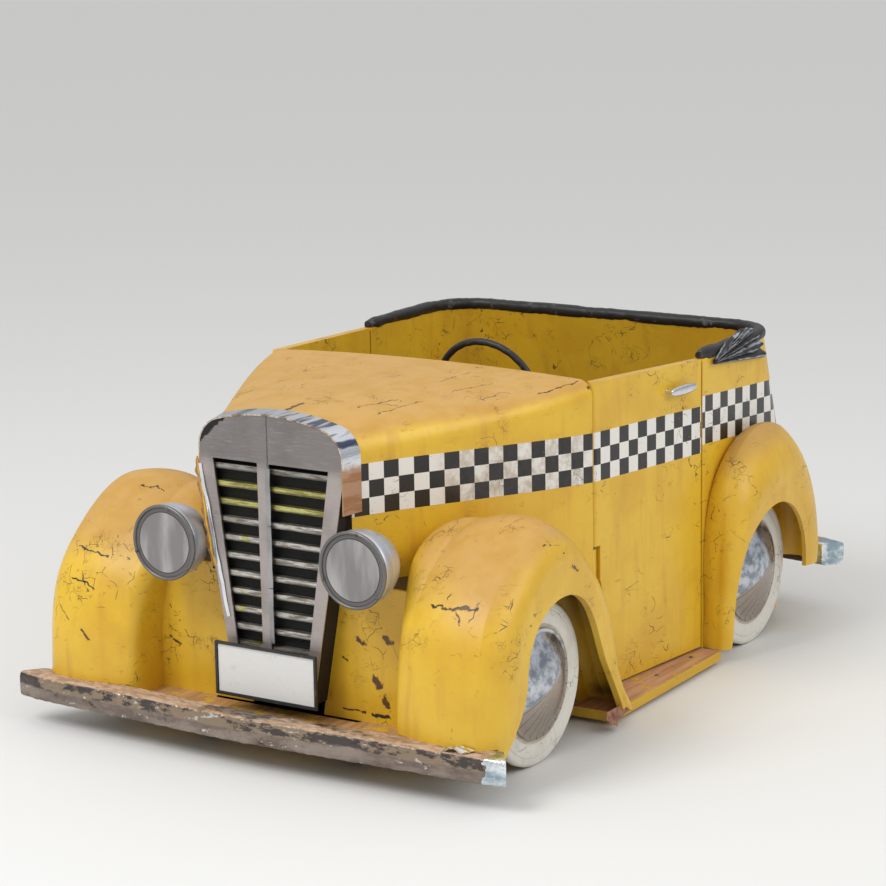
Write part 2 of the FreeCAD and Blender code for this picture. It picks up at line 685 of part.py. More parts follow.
def grille_band():
    """Bright strip bent over the top of the grille and down both sides."""
    cones = []
    for inset in (-3.0 - SEAT_FIT, -SEAT_FIT):
        front = bonnet_section(BONNET_FRONT_Y, inset, 492.0, GRILLE_HALF)
        front.translate(V(HEADER_SHIFT, GRILLE_FACE_Y - BONNET_FRONT_Y, 0))
        cones.append(Part.makeLoft([front, bonnet_section(BAND_REAR_Y, inset, 492.0)], True, True))
    return cones[0].cut(cones[1])


def lamp_bucket():
    """Deep spun bowl of one arc behind a short barrel, on a stub from the ledge."""
    centre = V(LAMP_X, LAMP_FRONT_Y, LAMP_Z)
    r, inner, barrel = LAMP_R, LAMP_R - LAMP_WALL, LAMP_BARREL
    knee, inner_knee = [ring(0.74 * radius, barrel + 0.62 * (deep - barrel))
                        for radius, deep in ((r, LAMP_DEPTH), (inner, LAMP_DEPTH - LAMP_WALL))]
    outer = [ring(r, 0), ring(r, barrel), (knee, ring(0, LAMP_DEPTH))]
    shell = outer + [ring(0, LAMP_DEPTH - LAMP_WALL), (inner_knee, ring(inner, barrel)), ring(inner, 0)]
    stub = rod(7, V(LAMP_X, APRON_Y + APRON_THICK / 2, LEDGE_Z),
               V(LAMP_X, APRON_Y + APRON_THICK / 2, LAMP_Z))
    stub = stub.cut(turned(outer + [ring(0, 0)], centre, V(0, 1, 0)))
    return turned(shell, centre, V(0, 1, 0)).fuse(stub)


def lamp_lens():
    """Painted disc that closes the bowl."""
    r = LAMP_R - LAMP_WALL - SEAT_FIT
    return rod(r, V(LAMP_X, LAMP_FRONT_Y + 4, LAMP_Z), V(LAMP_X, LAMP_FRONT_Y + 8, LAMP_Z))


def number_plate():
    """Blank pressed plate with a raised rim on two posts."""
    half, low, high, y = 119.0, 112.0, 218.0, GRILLE_FACE_Y - 26
    rim = 5.0
    plate = box(-half, half, y - 3, y + 3, low, high)
    plate = plate.cut(box(-half + rim, half - rim, y - 4, y, low + rim, high - rim))
    return plate.fuse(both(box(-60, -40, y + 3, GRILLE_FACE_Y, 150, 180)))


def bumper(front):
    """Bowed plank with mitred ends, more swept at the rear."""
    half, mitre, bow, tip, heel = FRONT_BUMPER_END if front else REAR_BUMPER_END
    left = [(half - mitre, bow), (half, tip), (half - 36, heel)]
    plan = [(0, 0)] + left + [(0, BUMPER_DEPTH)] + [(-x, y) for x, y in reversed(left)]
    plank = prism([(x, y, BUMPER_BOTTOM) for x, y in plan], (0, 0, BUMPER_TOP - BUMPER_BOTTOM))
    if front:
        plank.translate(V(0, BUMPER_FRONT_Y, 0))
        return plank
    plank = plank.mirror(V(0, 0, 0), V(0, 1, 0))
    plank.translate(V(0, -BUMPER_FRONT_Y, REAR_BUMPER_RISE))
    return plank


def rear_irons():
    """Two bars from the back of the body to the rear bumper."""
    z = BUMPER_BOTTOM + REAR_BUMPER_RISE
    bar = box(200, 240, BODY_REAR, -BUMPER_FRONT_Y - BUMPER_DEPTH, z, z + 30)
    return both(bar.cut(bumper(False)))


def running_board():
    """Plank step between the fenders, screwed up under the floor's edge."""
    y0, y1 = -235.0, DOOR_REAR_Y + 6
    plan = [(side_half(y0) - 50, y0), (STEP_FRONT_X, y0), (STEP_REAR_X, y1), (BODY_HALF - 60, y1)]
    return prism([(x, y, STEP_TOP - STEP_THICK) for x, y in plan], (0, 0, STEP_THICK))


# ---------------------------------------------------------------- cockpit
def seat_base():
    """Box under the seat between the wheel arches."""
    half = BODY_HALF - BOARD - FLOOR_INSET
    y = TAIL_FRONT_Y + 1
    front = box(-half, half, y, y + 18, FLOOR_TOP, SEAT_TOP - 18)
    lid = box(-half, half, y, BODY_REAR, SEAT_TOP - 18, SEAT_TOP)
    return front.fuse(lid).common(tail_hull(BOARD + SEAT_FIT, 900))


def seat_cushion():
    """Bench cushion, a plain rounded pad."""
    pad = box(-395, 395, TAIL_FRONT_Y, 628, SEAT_TOP + SEAT_FIT, CUSHION_TOP)
    return pad.makeFillet(22, pad.Edges)


def steering_column():
    """Short tube from the wheel's hub through the dash board."""
    return rod(COLUMN_R, HELM - column_way() * 4, column_foot())


def steering_wheel():
    """Round rim, three flat spokes and a hub on the column's head."""
    mid = HELM_R - HELM_RIM_R
    hub = Part.makeCylinder(30, 26, V(0, 0, -6))
    hub = hub.cut(Part.makeCylinder(COLUMN_R + AXLE_FIT, 22, V(0, 0, -10)))
    shape = Part.makeTorus(mid, HELM_RIM_R).fuse(hub)
    for angle in (90, 210, 330):
        spoke = box(20, mid, -11, 11, 0, 5)
        spoke.rotate(V(0, 0, 0), V(0, 0, 1), angle)
        shape = shape.fuse(spoke)
    shape.Placement = FreeCAD.Placement(HELM, FreeCAD.Rotation(V(0, 0, 1), column_way() * -1))
    return shape


def folded_top():
    """Rolled black hood over the rim of the tail; its left fan stands up, the right one has sunk."""
    r = 15.0
    line = tail_plan(BOARD / 2, TAIL_TOP + 7, BODY_REAR - TAIL_LEAN, False)
    start = line.OrderedVertexes[0].Point

    def tube(radius):
        return line.makePipeShell([Part.Wire(Part.makeCircle(radius, start, V(0, 1, 0)))], True, False)

    top = TAIL_TOP + SEAT_FIT
    roll = tube(r).cut(tail_hull(-SEAT_FIT, top).cut(tail_hull(BOARD + SEAT_FIT, top)))
    x = BODY_HALF + SEAT_FIT
    fans = []
    for side, crest in ((LEFT, 700), (RIGHT, 664)):
        fan = prism([(x, 275, 642), (x, 424, crest), (x, 481, crest - 16), (x, 522, 634), (x, 525, 614),
                     (x, 300, 634)], (17, 0, 0))
        fans.append(handed(fan.cut(tube(r + SEAT_FIT)), side))
    return roll, fans


# ---------------------------------------------------------------- build
def main():
    shelf, apron = front_shelf(), front_apron()
    keep("floor_board", floor_board())
    keep("chassis_frame", chassis_frame())
    for end, y, face in (("front", FRONT_AXLE_Y, FRONT_FACE_X), ("rear", REAR_AXLE_Y, REAR_FACE_X)):
        keep(f"axle_{end}", axle(y, face))
        keep(f"axle_supports_{end}", axle_supports(y))
        for name, side in (("left", LEFT), ("right", RIGHT)):
            tyre, disc = wheel(y, face, side)
            keep(f"tyre_{end}_{name}", tyre)
            keep(f"wheel_disc_{end}_{name}", disc)
            keep(f"hubcap_{end}_{name}", hubcap(y, face, side))
    keep("bonnet", bonnet())
    keep("dash_board", dash_board())
    keep("toe_board", toe_board())
    front = fender(FRONT_COLUMNS, FRONT_FENDER, front_section, FENDER_WALL, STEP_TOP)
    front = front.cut(door_swing(GAP + 1)).cut(bonnet_hull(-SEAT_FIT, 0)).cut(shelf).cut(apron)
    beside = box(-BOARD, BOARD / 2 + SEAT_FIT, -BOARD, 300, 0, 700)
    front = largest(front.cut(bumper(True)).cut(hung(beside)))
    rear = fender(REAR_COLUMNS, REAR_FENDER, rear_section, REAR_FENDER_WALL, STEP_TOP)
    rear = largest(rear.cut(tail_hull(-SEAT_FIT, 900)).cut(door_swing(GAP)))
    wall = tail_wall()
    left_pieces = {
        "front_fender": front,
        "rear_fender": rear,
        "door": door(),
        "door_handle": door_handle(),
        "hinge_rod": hinge_rod(),
        "rear_quarter": rear_quarter(wall),
        "running_board": running_board(),
        "lamp_bucket": lamp_bucket(),
        "lamp_lens": lamp_lens(),
    }
    for piece, shape in left_pieces.items():
        for name, side in (("left", LEFT), ("right", RIGHT)):
            keep(f"{piece}_{name}", handed(shape, side))
    keep("back_panel", back_panel(wall))
    keep("front_apron", apron)
    keep("front_shelf", shelf)
    keep("grille_frame", grille_frame())
    keep("grille_slats", grille_slats())
    keep("grille_band", grille_band())
    keep("number_plate", number_plate())
    keep("front_bumper", bumper(True))
    keep("rear_bumper", bumper(False))
    keep("rear_bumper_irons", rear_irons())
    keep("seat_base", seat_base())
    keep("seat_cushion", seat_cushion())
    keep("steering_column", steering_column())
    keep("steering_wheel", steering_wheel())
    roll, fans = folded_top()
    keep("folded_top", roll)
    keep("top_fan_left", fans[0])
    keep("top_fan_right", fans[1])
    os.makedirs("parts", exist_ok=True)
    for name, shape in NODES.items():
        shape.exportStep(f"parts/{name}.step")
        size = shape.BoundBox
        print(f"{name:24s} valid {shape.isValid()} solids {len(shape.Solids)} "
              f"x {size.XMin:7.1f} {size.XMax:7.1f} y {size.YMin:7.1f} {size.YMax:7.1f} "
              f"z {size.ZMin:6.1f} {size.ZMax:6.1f} dm3 {shape.Volume / 1e6:.2f}")


main()
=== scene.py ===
# %% [markdown]
# # A child's wooden taxi
# The taxi is a plywood car from a children's roundabout, with cracked yellow paint, a taped
# chequered band, white wheels and a rolled hood. The engineering model gives every part its size
# and place. This notebook adds what the eye reads: paint that has crazed, metal that has been
# polished by hands, cloth that has slumped. It starts by loading that model.

# %% load the frame
import math

import bpy
import numpy as np
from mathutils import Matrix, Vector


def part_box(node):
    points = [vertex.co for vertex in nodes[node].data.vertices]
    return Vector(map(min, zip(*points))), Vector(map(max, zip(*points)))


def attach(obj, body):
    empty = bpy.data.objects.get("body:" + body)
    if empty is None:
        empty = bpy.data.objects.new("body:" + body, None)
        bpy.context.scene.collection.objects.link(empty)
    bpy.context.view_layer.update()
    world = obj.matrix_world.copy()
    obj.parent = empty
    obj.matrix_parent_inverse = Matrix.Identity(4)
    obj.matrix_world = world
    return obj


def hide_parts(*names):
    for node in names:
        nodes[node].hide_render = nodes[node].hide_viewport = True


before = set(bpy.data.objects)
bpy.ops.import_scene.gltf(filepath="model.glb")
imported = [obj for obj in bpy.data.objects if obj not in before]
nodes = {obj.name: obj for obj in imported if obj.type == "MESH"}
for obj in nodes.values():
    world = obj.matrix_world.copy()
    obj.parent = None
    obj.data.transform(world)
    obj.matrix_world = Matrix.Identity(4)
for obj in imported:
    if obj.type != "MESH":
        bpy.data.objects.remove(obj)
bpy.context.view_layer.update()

MM = 0.001
SIDES = (("left", 1), ("right", -1))


def link(name, data):
    """Puts new data into the scene as an object of that name, at the origin."""
    made = bpy.data.objects.new(name, data)
    bpy.context.scene.collection.objects.link(made)
    return made


def placed(across, up, back, at):
    """The matrix of an object whose own three axes point across, up and back."""
    frame_of = np.eye(4)
    frame_of[:3, 0], frame_of[:3, 1], frame_of[:3, 2], frame_of[:3, 3] = across, up, back, at
    return frame_of.T


# %% [markdown]
# ## Camera and light
# The taxi is seen from its left front corner, from a little above, through a long lens. A long
# lens keeps the two bumper corners nearly the same size. The light is a plain pale sky with one
# broad lamp above and in front, because old paint shows its cracks best in soft light.

# %% camera
YAW, PITCH, ROLL = math.radians(32.87), math.radians(12.16), math.radians(-1.02)
forward = np.array([-math.sin(YAW) * math.cos(PITCH), math.cos(YAW) * math.cos(PITCH), -math.sin(PITCH)])
level = np.array([math.cos(YAW), math.sin(YAW), 0.0])
upright = np.cross(level, forward)
right = level * math.cos(ROLL) + upright * math.sin(ROLL)
top = upright * math.cos(ROLL) - level * math.sin(ROLL)
lens = bpy.data.cameras.new("camera")
lens.lens, lens.sensor_width, lens.clip_end = 116.1, 36.0, 200.0
camera = link("camera", lens)
camera.matrix_world = placed(right, top, -forward, (3.1472, -4.9564, 1.7475))
bpy.context.scene.camera = camera
bpy.context.scene.view_settings.view_transform = "Standard"
print("camera at", [round(v, 3) for v in camera.matrix_world.translation])

# %% [markdown]
# Shader sums read best as plain expressions, so one small class wraps a socket and gives it
# arithmetic. Each operator adds one Math node. A second class holds one material and makes every
# other node from its type, its settings and its inputs.

# %% wires
def operator(operation):
    """A method that adds one Math node of that operation."""
    return lambda self, *others: self.math(operation, *others)


class Wire:
    """A number on its way through a shader; arithmetic on it adds Math nodes."""
    __add__ = __radd__ = operator("ADD")
    __mul__ = __rmul__ = operator("MULTIPLY")
    __sub__, __truediv__, __mod__ = operator("SUBTRACT"), operator("DIVIDE"), operator("FLOORED_MODULO")
    __gt__, __lt__ = operator("GREATER_THAN"), operator("LESS_THAN")
    __pow__, __abs__ = operator("POWER"), operator("ABSOLUTE")
    least, most, floor = operator("MINIMUM"), operator("MAXIMUM"), operator("FLOOR")

    def __init__(self, finish, socket):
        self.finish, self.socket = finish, socket

    def math(self, operation, *others):
        return self.finish.node("ShaderNodeMath", {"operation": operation}, dict(enumerate((self, *others))))

    def __rsub__(self, other):
        return self * -1 + other

    def ease(self, start, end):
        """0 up to start, 1 from end on, smooth between; start may be the larger."""
        return self.finish.node("ShaderNodeMapRange", {"interpolation_type": "SMOOTHSTEP"},
                                {"Value": self, "From Min": start, "From Max": end})


print("a wire knows", sum(isinstance(way, type(Wire.math)) for way in vars(Wire).values()), "ways to go on")

# %% [markdown]
# A finish is one material. Every pattern in it is read at the place on the object, in metres, so
# it neither slides nor stretches. Its last step is one Principled shader with one Bump node.

# %% finishes
class Finish:
    """One material, or the sky, built node by node."""

    def __init__(self, name, holder=None):
        self.material = holder or bpy.data.materials.new(name)
        self.material.use_nodes = True
        self.tree = self.material.node_tree
        self.tree.nodes.clear()
        self.place = self.node("ShaderNodeTexCoord", out="Generated" if holder else "Object")
        self.x, self.y, self.z = self.axes(self.place)

    def node(self, kind, settings=None, inputs=None, out=0):
        """Makes one node: settings first, then numbers or wires into its sockets."""
        made = self.tree.nodes.new(kind)
        for key, value in (settings or {}).items():
            if key == "stops":
                for stop, (place, colour) in zip(made.color_ramp.elements, value):
                    stop.position, stop.color = place, colour
            else:
                setattr(made, key, value)
        for key, value in (inputs or {}).items():
            if isinstance(value, Wire):
                self.tree.links.new(value.socket, made.inputs[key])
            else:
                made.inputs[key].default_value = value
        return Wire(self, made.outputs[out]) if made.outputs else None

    def axes(self, vector):
        """The x, y and z of a vector, as three wires."""
        split = self.node("ShaderNodeSeparateXYZ", inputs={0: vector}).socket.node
        return [Wire(self, socket) for socket in split.outputs]

    def vector(self, operation, first, second, out=0):
        """One Vector Math node; SCALE takes a number as its second value."""
        other = "Scale" if operation == "SCALE" else 1
        return self.node("ShaderNodeVectorMath", {"operation": operation}, {0: first, other: second}, out)

    def stretched(self, along):
        """Object place multiplied by a vector, to pull a pattern long in one direction."""
        return self.vector("MULTIPLY", self.place, along) if along else self.place

    def noise(self, size, detail=4.0, rough=0.55, along=None, warp=0.0):
        """Cloudy number from 0 to 1 whose blotches are about size metres across."""
        at = self.stretched(along)
        return self.node("ShaderNodeTexNoise", None, {"Vector": at, "Scale": 1 / size, "Detail": detail,
                                                      "Roughness": rough, "Distortion": warp})

    def cells(self, size, feature="DISTANCE_TO_EDGE", along=None, wander=0.0):
        """Distance to the edge of irregular cells; wander bends their edges."""
        at = self.stretched(along)
        if wander:
            push = self.node("ShaderNodeTexNoise", None, {"Vector": at, "Scale": 0.7 / size}, out="Color")
            at = self.vector("ADD", at, self.vector("SCALE", push, wander))
        return self.node("ShaderNodeTexVoronoi", {"feature": feature}, {"Vector": at, "Scale": 1 / size})

    def mix(self, mask, low, high):
        """Colour low where the mask is 0, high where it is 1."""
        mixed = self.node("ShaderNodeMix", {"data_type": "RGBA"}, {0: mask, 6: low, 7: high})
        return Wire(self, mixed.socket.node.outputs[2])

    def normal(self):
        """Which way the surface faces, as three wires."""
        return self.axes(self.node("ShaderNodeNewGeometry", out="Normal"))

    def facing_up(self):
        """How far the surface faces up, from -1 to 1."""
        return self.normal()[2]

    def finish(self, colour, rough, height=None, depth=0.001, metal=0.0, coat=0.0, **fixed):
        """Ends the material in one Principled shader; height is in units of depth metres."""
        inputs = {"Base Color": colour, "Roughness": rough, "Metallic": metal, "Coat Weight": coat}
        inputs.update({key.replace("_", " "): value for key, value in fixed.items()})
        if height is not None:
            inputs["Normal"] = self.node("ShaderNodeBump", None, {"Height": height, "Distance": depth})
        shader = self.node("ShaderNodeBsdfPrincipled", None, inputs)
        self.node("ShaderNodeOutputMaterial", None, {0: shader})
        return self.material


def paint(red, green, blue):
    """A colour read off a chart in 0 to 255 steps, as the linear numbers a shader wants."""
    steps = np.array([red, green, blue]) / 255
    linear = np.where(steps < 0.04045, steps / 12.92, ((steps + 0.055) / 1.055) ** 2.4)
    return (*linear.tolist(), 1.0)


print("the chart's yellow is", [round(v, 3) for v in paint(222, 168, 36)])

# %% [markdown]
# The sky is a grey ramp over height, pale from a little above the horizon. A lamp is aimed by
# building its three axes, because a matrix says exactly where it points.

# %% sky, lamp and floor
world = bpy.data.worlds.new("sky")
bpy.context.scene.world = world
sky = Finish("sky", world)
shade = sky.node("ShaderNodeValToRGB", {"stops": [(0.0, (0.42, 0.43, 0.45, 1)), (0.75, (1, 1, 1, 1))]}, {0: sky.z})
sky.node("ShaderNodeOutputWorld", None, {0: sky.node("ShaderNodeBackground", None, {0: shade, 1: 0.84})})


def lamp(name, place, aim, size, power):
    """A broad square lamp at place, turned to face aim."""
    light = bpy.data.lights.new(name, "AREA")
    light.size, light.energy = size, power
    way = np.array(aim, float) - place
    way /= np.linalg.norm(way)
    side = np.cross(way, (0.0, 0.0, 1.0))
    side /= np.linalg.norm(side)
    link(name, light).matrix_world = placed(side, np.cross(side, way), -way, place)


lamp("key_lamp", (-1.2, -3.6, 4.4), (0.0, -0.1, 0.3), 2.6, 135.0)
lamp("side_lamp", (4.6, -0.4, 3.2), (0.0, 0.0, 0.4), 2.6, 60.0)

FLOOR_REACH = 60.0
floor_mesh = bpy.data.meshes.new("floor")
floor_mesh.from_pydata([(x * FLOOR_REACH, y * FLOOR_REACH, 0) for x, y in ((-1, -1), (1, -1), (1, 1), (-1, 1))],
                       [], [(0, 1, 2, 3)])
floor_mesh.materials.append(Finish("pale_floor").finish(paint(226, 226, 224), 0.95))
floor = link("floor", floor_mesh)
print("floor is", 2 * FLOOR_REACH, "m square")

# %% [markdown]
# ## Old yellow paint
# The paint is a thick household enamel over plywood and papered curves. It has wrinkled while
# drying, crazed in patches, rubbed to ochre where hands and trouser legs pass, and chipped to
# brown. One function makes it, so every panel shares a hue, and each panel asks for its own
# amount of crazing and its own few marks. A mark is the distance from a straight line between
# two places, bent by noise, which needs no texture space.

# %% marks
YELLOW, DEEP_YELLOW, OCHRE = paint(229, 186, 46), paint(216, 168, 38), paint(198, 152, 82)
BROWN, BARE_WOOD, SOOT = paint(92, 62, 32), paint(176, 132, 84), paint(44, 36, 28)


def bent_place(f, amount=0.016):
    """Object place pushed a few millimetres by noise, which bends what is drawn on it."""
    push = f.node("ShaderNodeTexNoise", None, {"Vector": f.place, "Scale": 55.0}, out="Color")
    return f.vector("ADD", f.place, f.vector("SCALE", f.vector("SUBTRACT", push, (0.5, 0.5, 0.5)), amount))


def near_line(f, start, end, width, thin=(1.0, 1.0, 1.0)):
    """1 within width of the line from start to end, fading outside, with a torn, bent edge.

    The bent place is multiplied by thin, which makes one direction count for less. Its share
    along the line is its dot product with the line over the line's square, kept between 0 and
    1; the distance is from the place to that point of the line."""
    start, end = np.multiply(start, thin), np.multiply(end, thin)
    line = end - start
    rel = f.vector("SUBTRACT", f.vector("MULTIPLY", bent_place(f), thin), tuple(start))
    share = f.vector("DOT_PRODUCT", rel, tuple(line / (line @ line)), "Value").most(0.0).least(1.0)
    away = f.vector("DISTANCE", rel, f.vector("SCALE", tuple(line), share), "Value")
    torn = f.noise(0.009, 4.0, 0.7) * 2.6 - 0.5
    return (away / torn.most(0.02)).ease(width, width * 0.6)


def outward(f):
    """1 on faces that look away from the middle of the body, 0 on its inner faces."""
    across, along, _ = f.normal()
    return across * f.x + along * 0.3 > 0.02


print("marks bend by up to", 0.5 * 16, "mm")


# %% the yellow paint
def yellow(name, crazed=0.5, rubbed=0.5, wrinkled=0.5, grime=0.4, marks=(), thin=(1.0, 1.0, 1.0), band=None,
           bare_shaded=None):
    """Cracked enamel; band adds the taped chequers.

    A mark is a row: the two ends' places and a width in millimetres, then a colour. The last
    argument is a mask of faces that were never painted, such as the inside of the bonnet; they are
    coloured near-black brown, which is painted shade, far darker than bare wood."""
    f = Finish(name)
    cloud, grain = f.noise(0.16, 5.0), f.noise(0.012, 4.0)
    drips = f.noise(0.03, 3.0, 0.5, along=(1.0, 1.0, 0.12))
    colour = f.mix(cloud.ease(0.35, 0.7), YELLOW, DEEP_YELLOW)
    colour = f.mix(drips.ease(0.5, 0.8) * 0.5, colour, paint(200, 146, 44))
    up = f.facing_up().ease(0.15, 0.95)
    worn = (up * 0.9 + cloud * 0.5 - 0.25).ease(0.75 - 0.55 * rubbed, 1.15 - 0.3 * rubbed)
    colour = f.mix(worn * 0.85, colour, f.mix(f.noise(0.05, 5.0).ease(0.4, 0.65), OCHRE, paint(192, 144, 66)))
    smudge = f.noise(0.05, 6.0, 0.7, along=(1.0, 0.6, 1.0))
    colour = f.mix((smudge.ease(0.55, 0.80) * (0.6 * grime)), colour, paint(122, 88, 44))
    patch = f.noise(0.13, 3.0).ease(0.58 - 0.14 * crazed, 0.66 - 0.12 * crazed)
    broken = f.noise(0.028, 3.0).ease(0.47, 0.54)
    fissure = f.cells(0.052, wander=0.09, along=(1.0, 0.7, 1.0)).ease(0.012, 0.004) * patch * broken
    hair = f.cells(0.017, wander=0.05).ease(0.030, 0.010) * patch * f.noise(0.05, 3.0).ease(0.54, 0.60)
    scratch = f.cells(0.05, along=(1.0, 1.0, 3.2), wander=0.2).ease(0.010, 0.003)
    scratch = scratch * f.noise(0.04, 3.0, 0.6, (1.0, 1.0, 2.0)).ease(0.60, 0.66)
    crack = fissure.most(hair * 0.75).most(scratch * 0.8)
    chip = (f.noise(0.012, 4.0, 0.65) + patch * 0.05).ease(0.725 - 0.02 * crazed, 0.745 - 0.02 * crazed)
    height = f.noise(0.009, 4.0, 0.6) * (0.35 * wrinkled) + f.noise(0.035, 3.0) * (0.9 * wrinkled)
    height = height - crack * 0.6 - chip * 0.25
    rough = 0.36 + cloud * 0.14 + worn * 0.22
    # Masked faces turn near-black brown: painted shade on unpainted inner and downward faces, darker than bare wood.
    if bare_shaded is not None:
        colour = f.mix(bare_shaded(f), colour, paint(58, 44, 30))
    if band is not None:
        inside, black, tired = band(f)
        tape = f.mix(black, paint(232, 229, 222), paint(17, 16, 18))
        tape = f.mix(tired * 0.75, tape, f.mix(black, paint(150, 128, 92), paint(52, 42, 34)))
        colour = f.mix(inside, colour, tape)
        height = height * (1 - inside * 0.55) + inside * 0.25
        rough = rough - inside * 0.12
    colour = f.mix(chip * 0.85, colour, f.mix(grain.ease(0.4, 0.6), BROWN, BARE_WOOD))
    colour = f.mix(crack * 0.9, colour, SOOT)
    for *ends, width, tone in marks:
        start, end = np.reshape(ends, (2, 3)) * MM
        mark = near_line(f, start, end, width * MM, thin)
        colour, height = f.mix(mark, colour, tone), height - mark * 0.8
    return f.finish(colour, rough + crack * 0.2, height, 0.0011, Coat_Roughness=0.25, coat=0.25)


print("paint goes from", [round(v, 2) for v in YELLOW[:3]], "to", [round(v, 2) for v in DEEP_YELLOW[:3]])

# %% [markdown]
# ## The taped band
# The squares are tape, cut straight but laid on leaning and curved panels. Each panel measures its
# own distance along the skin and counts squares from there, so they stay square in every place.

# %% the taped band of chequers
TAPE_ROWS, CELL = 3, 33.3 * MM
DOOR_LEAN = 34 / 391    # how far a door widens outwards along its length


def chequers(f, along, crest, cell, first, parity, tired=None, face=None):
    """Three rows of squares under the line crest, counted along the panel from first."""
    column, row = (along - first) / cell, (crest - f.z) / cell
    inside = (row > 0.0) * (row < TAPE_ROWS) * (outward(f) if face is None else face)
    black = (column.floor() + row.floor() + parity) % 2.0 < 0.5
    scuff = f.noise(0.02, 6.0, 0.7).ease(0.64, 0.82) * 0.45
    return inside, black, scuff if tired is None else (scuff + tired).least(1.0)


def bonnet_band(f):
    """Along is the flat distance from the bonnet's front corner, so squares stay square."""
    side, back = abs(f.x) - 168 * MM, f.y + 666 * MM
    along = (side * side + back * back) ** 0.5
    crest = 582 * MM - ((f.y + 648 * MM) / (500 * MM)) ** 2.0 * (12.5 * MM)
    smear = f.noise(0.03, 6.0, 0.7).ease(0.38, 0.66)
    tired = smear * along.ease(0.17, 0.24) * along.ease(0.60, 0.50) * 0.8
    return chequers(f, along, crest, CELL, 6 * MM, 0.0, tired)


def door_band(f):
    """Along is counted on the door's own leaning skin; only its outer 3 mm carry the tape."""
    behind = f.y + 143 * MM
    crest = 569 * MM - behind * (13 / 391)
    skin = abs(f.x) - behind * DOOR_LEAN > (393 - 3) * MM
    return chequers(f, behind * math.hypot(1.0, DOOR_LEAN), crest, CELL, -10 * MM, 1.0, face=skin)


def tail_band(f):
    """Along runs down the side, round the corner by its angle, then across the back."""
    corner_r, corner_x = 115 * MM, 312 * MM
    corner_y = 585 * MM - (f.z - 425 * MM) * (72 / 230)
    past = (f.y - corner_y).most(0.0)
    turn = past.math("ARCTAN2", (abs(f.x) - corner_x).most(1e-5))
    flat = (corner_x - abs(f.x)).most(0.0) * (f.y > 0.5)
    along = f.y.least(corner_y) - 254.7 * MM + turn * corner_r + flat
    crest = 576 * MM - (f.y - 255 * MM) * (20 / 330)
    return chequers(f, along, crest, 34.5 * MM, -22 * MM, 1.0)


print("a chequer is", CELL, "m,", TAPE_ROWS, "rows")

# %% [markdown]
# ## Wood, metal, rubber and cloth finishes
# Bare wood shows on the shelf, the step and under the floor: long grain is noise stretched along
# the plank. The metals differ by how they were worked: plated hubcaps are smooth, spun lamp bowls
# carry rings, foil on the bumper is crumpled, and grille bars are scratched along their length.

# %% wood
def timber(name, light, dark, along=(1.0, 0.06, 1.0), ring=0.012, worn=0.4):
    """Plank: stretched noise for grain, finer streaks for fibre, wear to grey, dark knocks."""
    f = Finish(name)
    grain, fibre = f.noise(ring, 5.0, 0.6, along, 0.4), f.noise(ring / 6, 3.0, 0.6, along)
    colour = f.mix(grain.ease(0.35, 0.68), light, dark)
    colour = f.mix(fibre.ease(0.5, 0.75) * 0.35, colour, SOOT)
    rub = f.noise(0.07, 5.0, 0.65).ease(0.62 - 0.12 * worn, 0.72)
    colour = f.mix(rub * worn, colour, paint(128, 108, 84))
    return f.finish(colour, 0.62 + grain * 0.2, grain * 0.3 + fibre * 0.5, 0.0008)


print("grain is", round(1 / 0.06), "times as long as it is wide")


# %% sheet metal
def metal(name, light, dark, rough=0.18, brushed=(1.0, 1.0, 1.0), pitted=0.3, streaks=0.5):
    """Sheet metal: long scratches, cloudy tarnish and small rust spots."""
    f = Finish(name)
    scratch, cloud = f.noise(0.003, 2.0, 0.7, brushed), f.noise(0.06, 5.0, 0.6)
    colour = f.mix(cloud.ease(0.38, 0.66), light, dark)
    colour = f.mix(scratch.ease(0.45, 0.8) * streaks, colour, dark)
    spot = (f.noise(0.011, 5.0, 0.7) + cloud * 0.1).ease(0.76 - 0.10 * pitted, 0.80 - 0.08 * pitted)
    colour = f.mix(spot, colour, BROWN)
    roughness = rough + cloud * 0.14 + scratch * 0.08 + spot * 0.3
    return f.finish(colour, roughness, scratch * 0.12, 0.0012, metal=1 - spot * 0.85)


print("a rust spot is 85 % less metallic")


# %% coated cloth, tyres and black enamel
def leathercloth(name, colour, worn_colour, grain=0.0022, gloss=0.38, fade=0.5):
    """Coated cloth: pebbled grain, silver-grey where folds have rubbed through."""
    f = Finish(name)
    pebble = f.cells(grain, "F1")
    cloud = f.noise(0.03, 5.0, 0.65)
    rub = cloud.ease(0.62 - 0.1 * fade, 0.70)
    tone = f.mix(rub * fade, colour, worn_colour)
    return f.finish(tone, gloss + rub * 0.25 + cloud * 0.1, pebble * 0.4 + cloud * 0.5, 0.0005)


def whitewall(name):
    """White enamel on the tyres, greyed by the ground on the tread and scuffed on the wall."""
    f = Finish(name)
    scuff = f.noise(0.02, 6.0, 0.7, (1.0, 1.0, 0.5)).ease(0.56, 0.76)
    low = f.noise(0.05, 4.0).ease(0.5, 0.7)
    colour = f.mix(scuff * 0.45, paint(222, 218, 208), paint(150, 140, 124))
    colour = f.mix(low * 0.2, colour, paint(176, 164, 140))
    crack = f.cells(0.03, wander=0.03).ease(0.02, 0.006) * f.noise(0.06, 3.0).ease(0.55, 0.62)
    colour = f.mix(crack * 0.6, colour, SOOT)
    return f.finish(colour, 0.55 + scuff * 0.2, f.noise(0.008, 4.0) - crack, 0.0007)


def enamel(name, colour, worn, rough, wear, size):
    """Plain brushed enamel with rubbed places and fine pits."""
    f = Finish(name)
    rub = f.noise(size, 6.0, 0.7).ease(0.64 - 0.12 * wear, 0.74 - 0.08 * wear)
    return f.finish(f.mix(rub, colour, worn), rough + rub * 0.2, f.noise(size / 4, 4.0), 0.0004)


print("pebbles of the cloth are 2.2 mm apart")

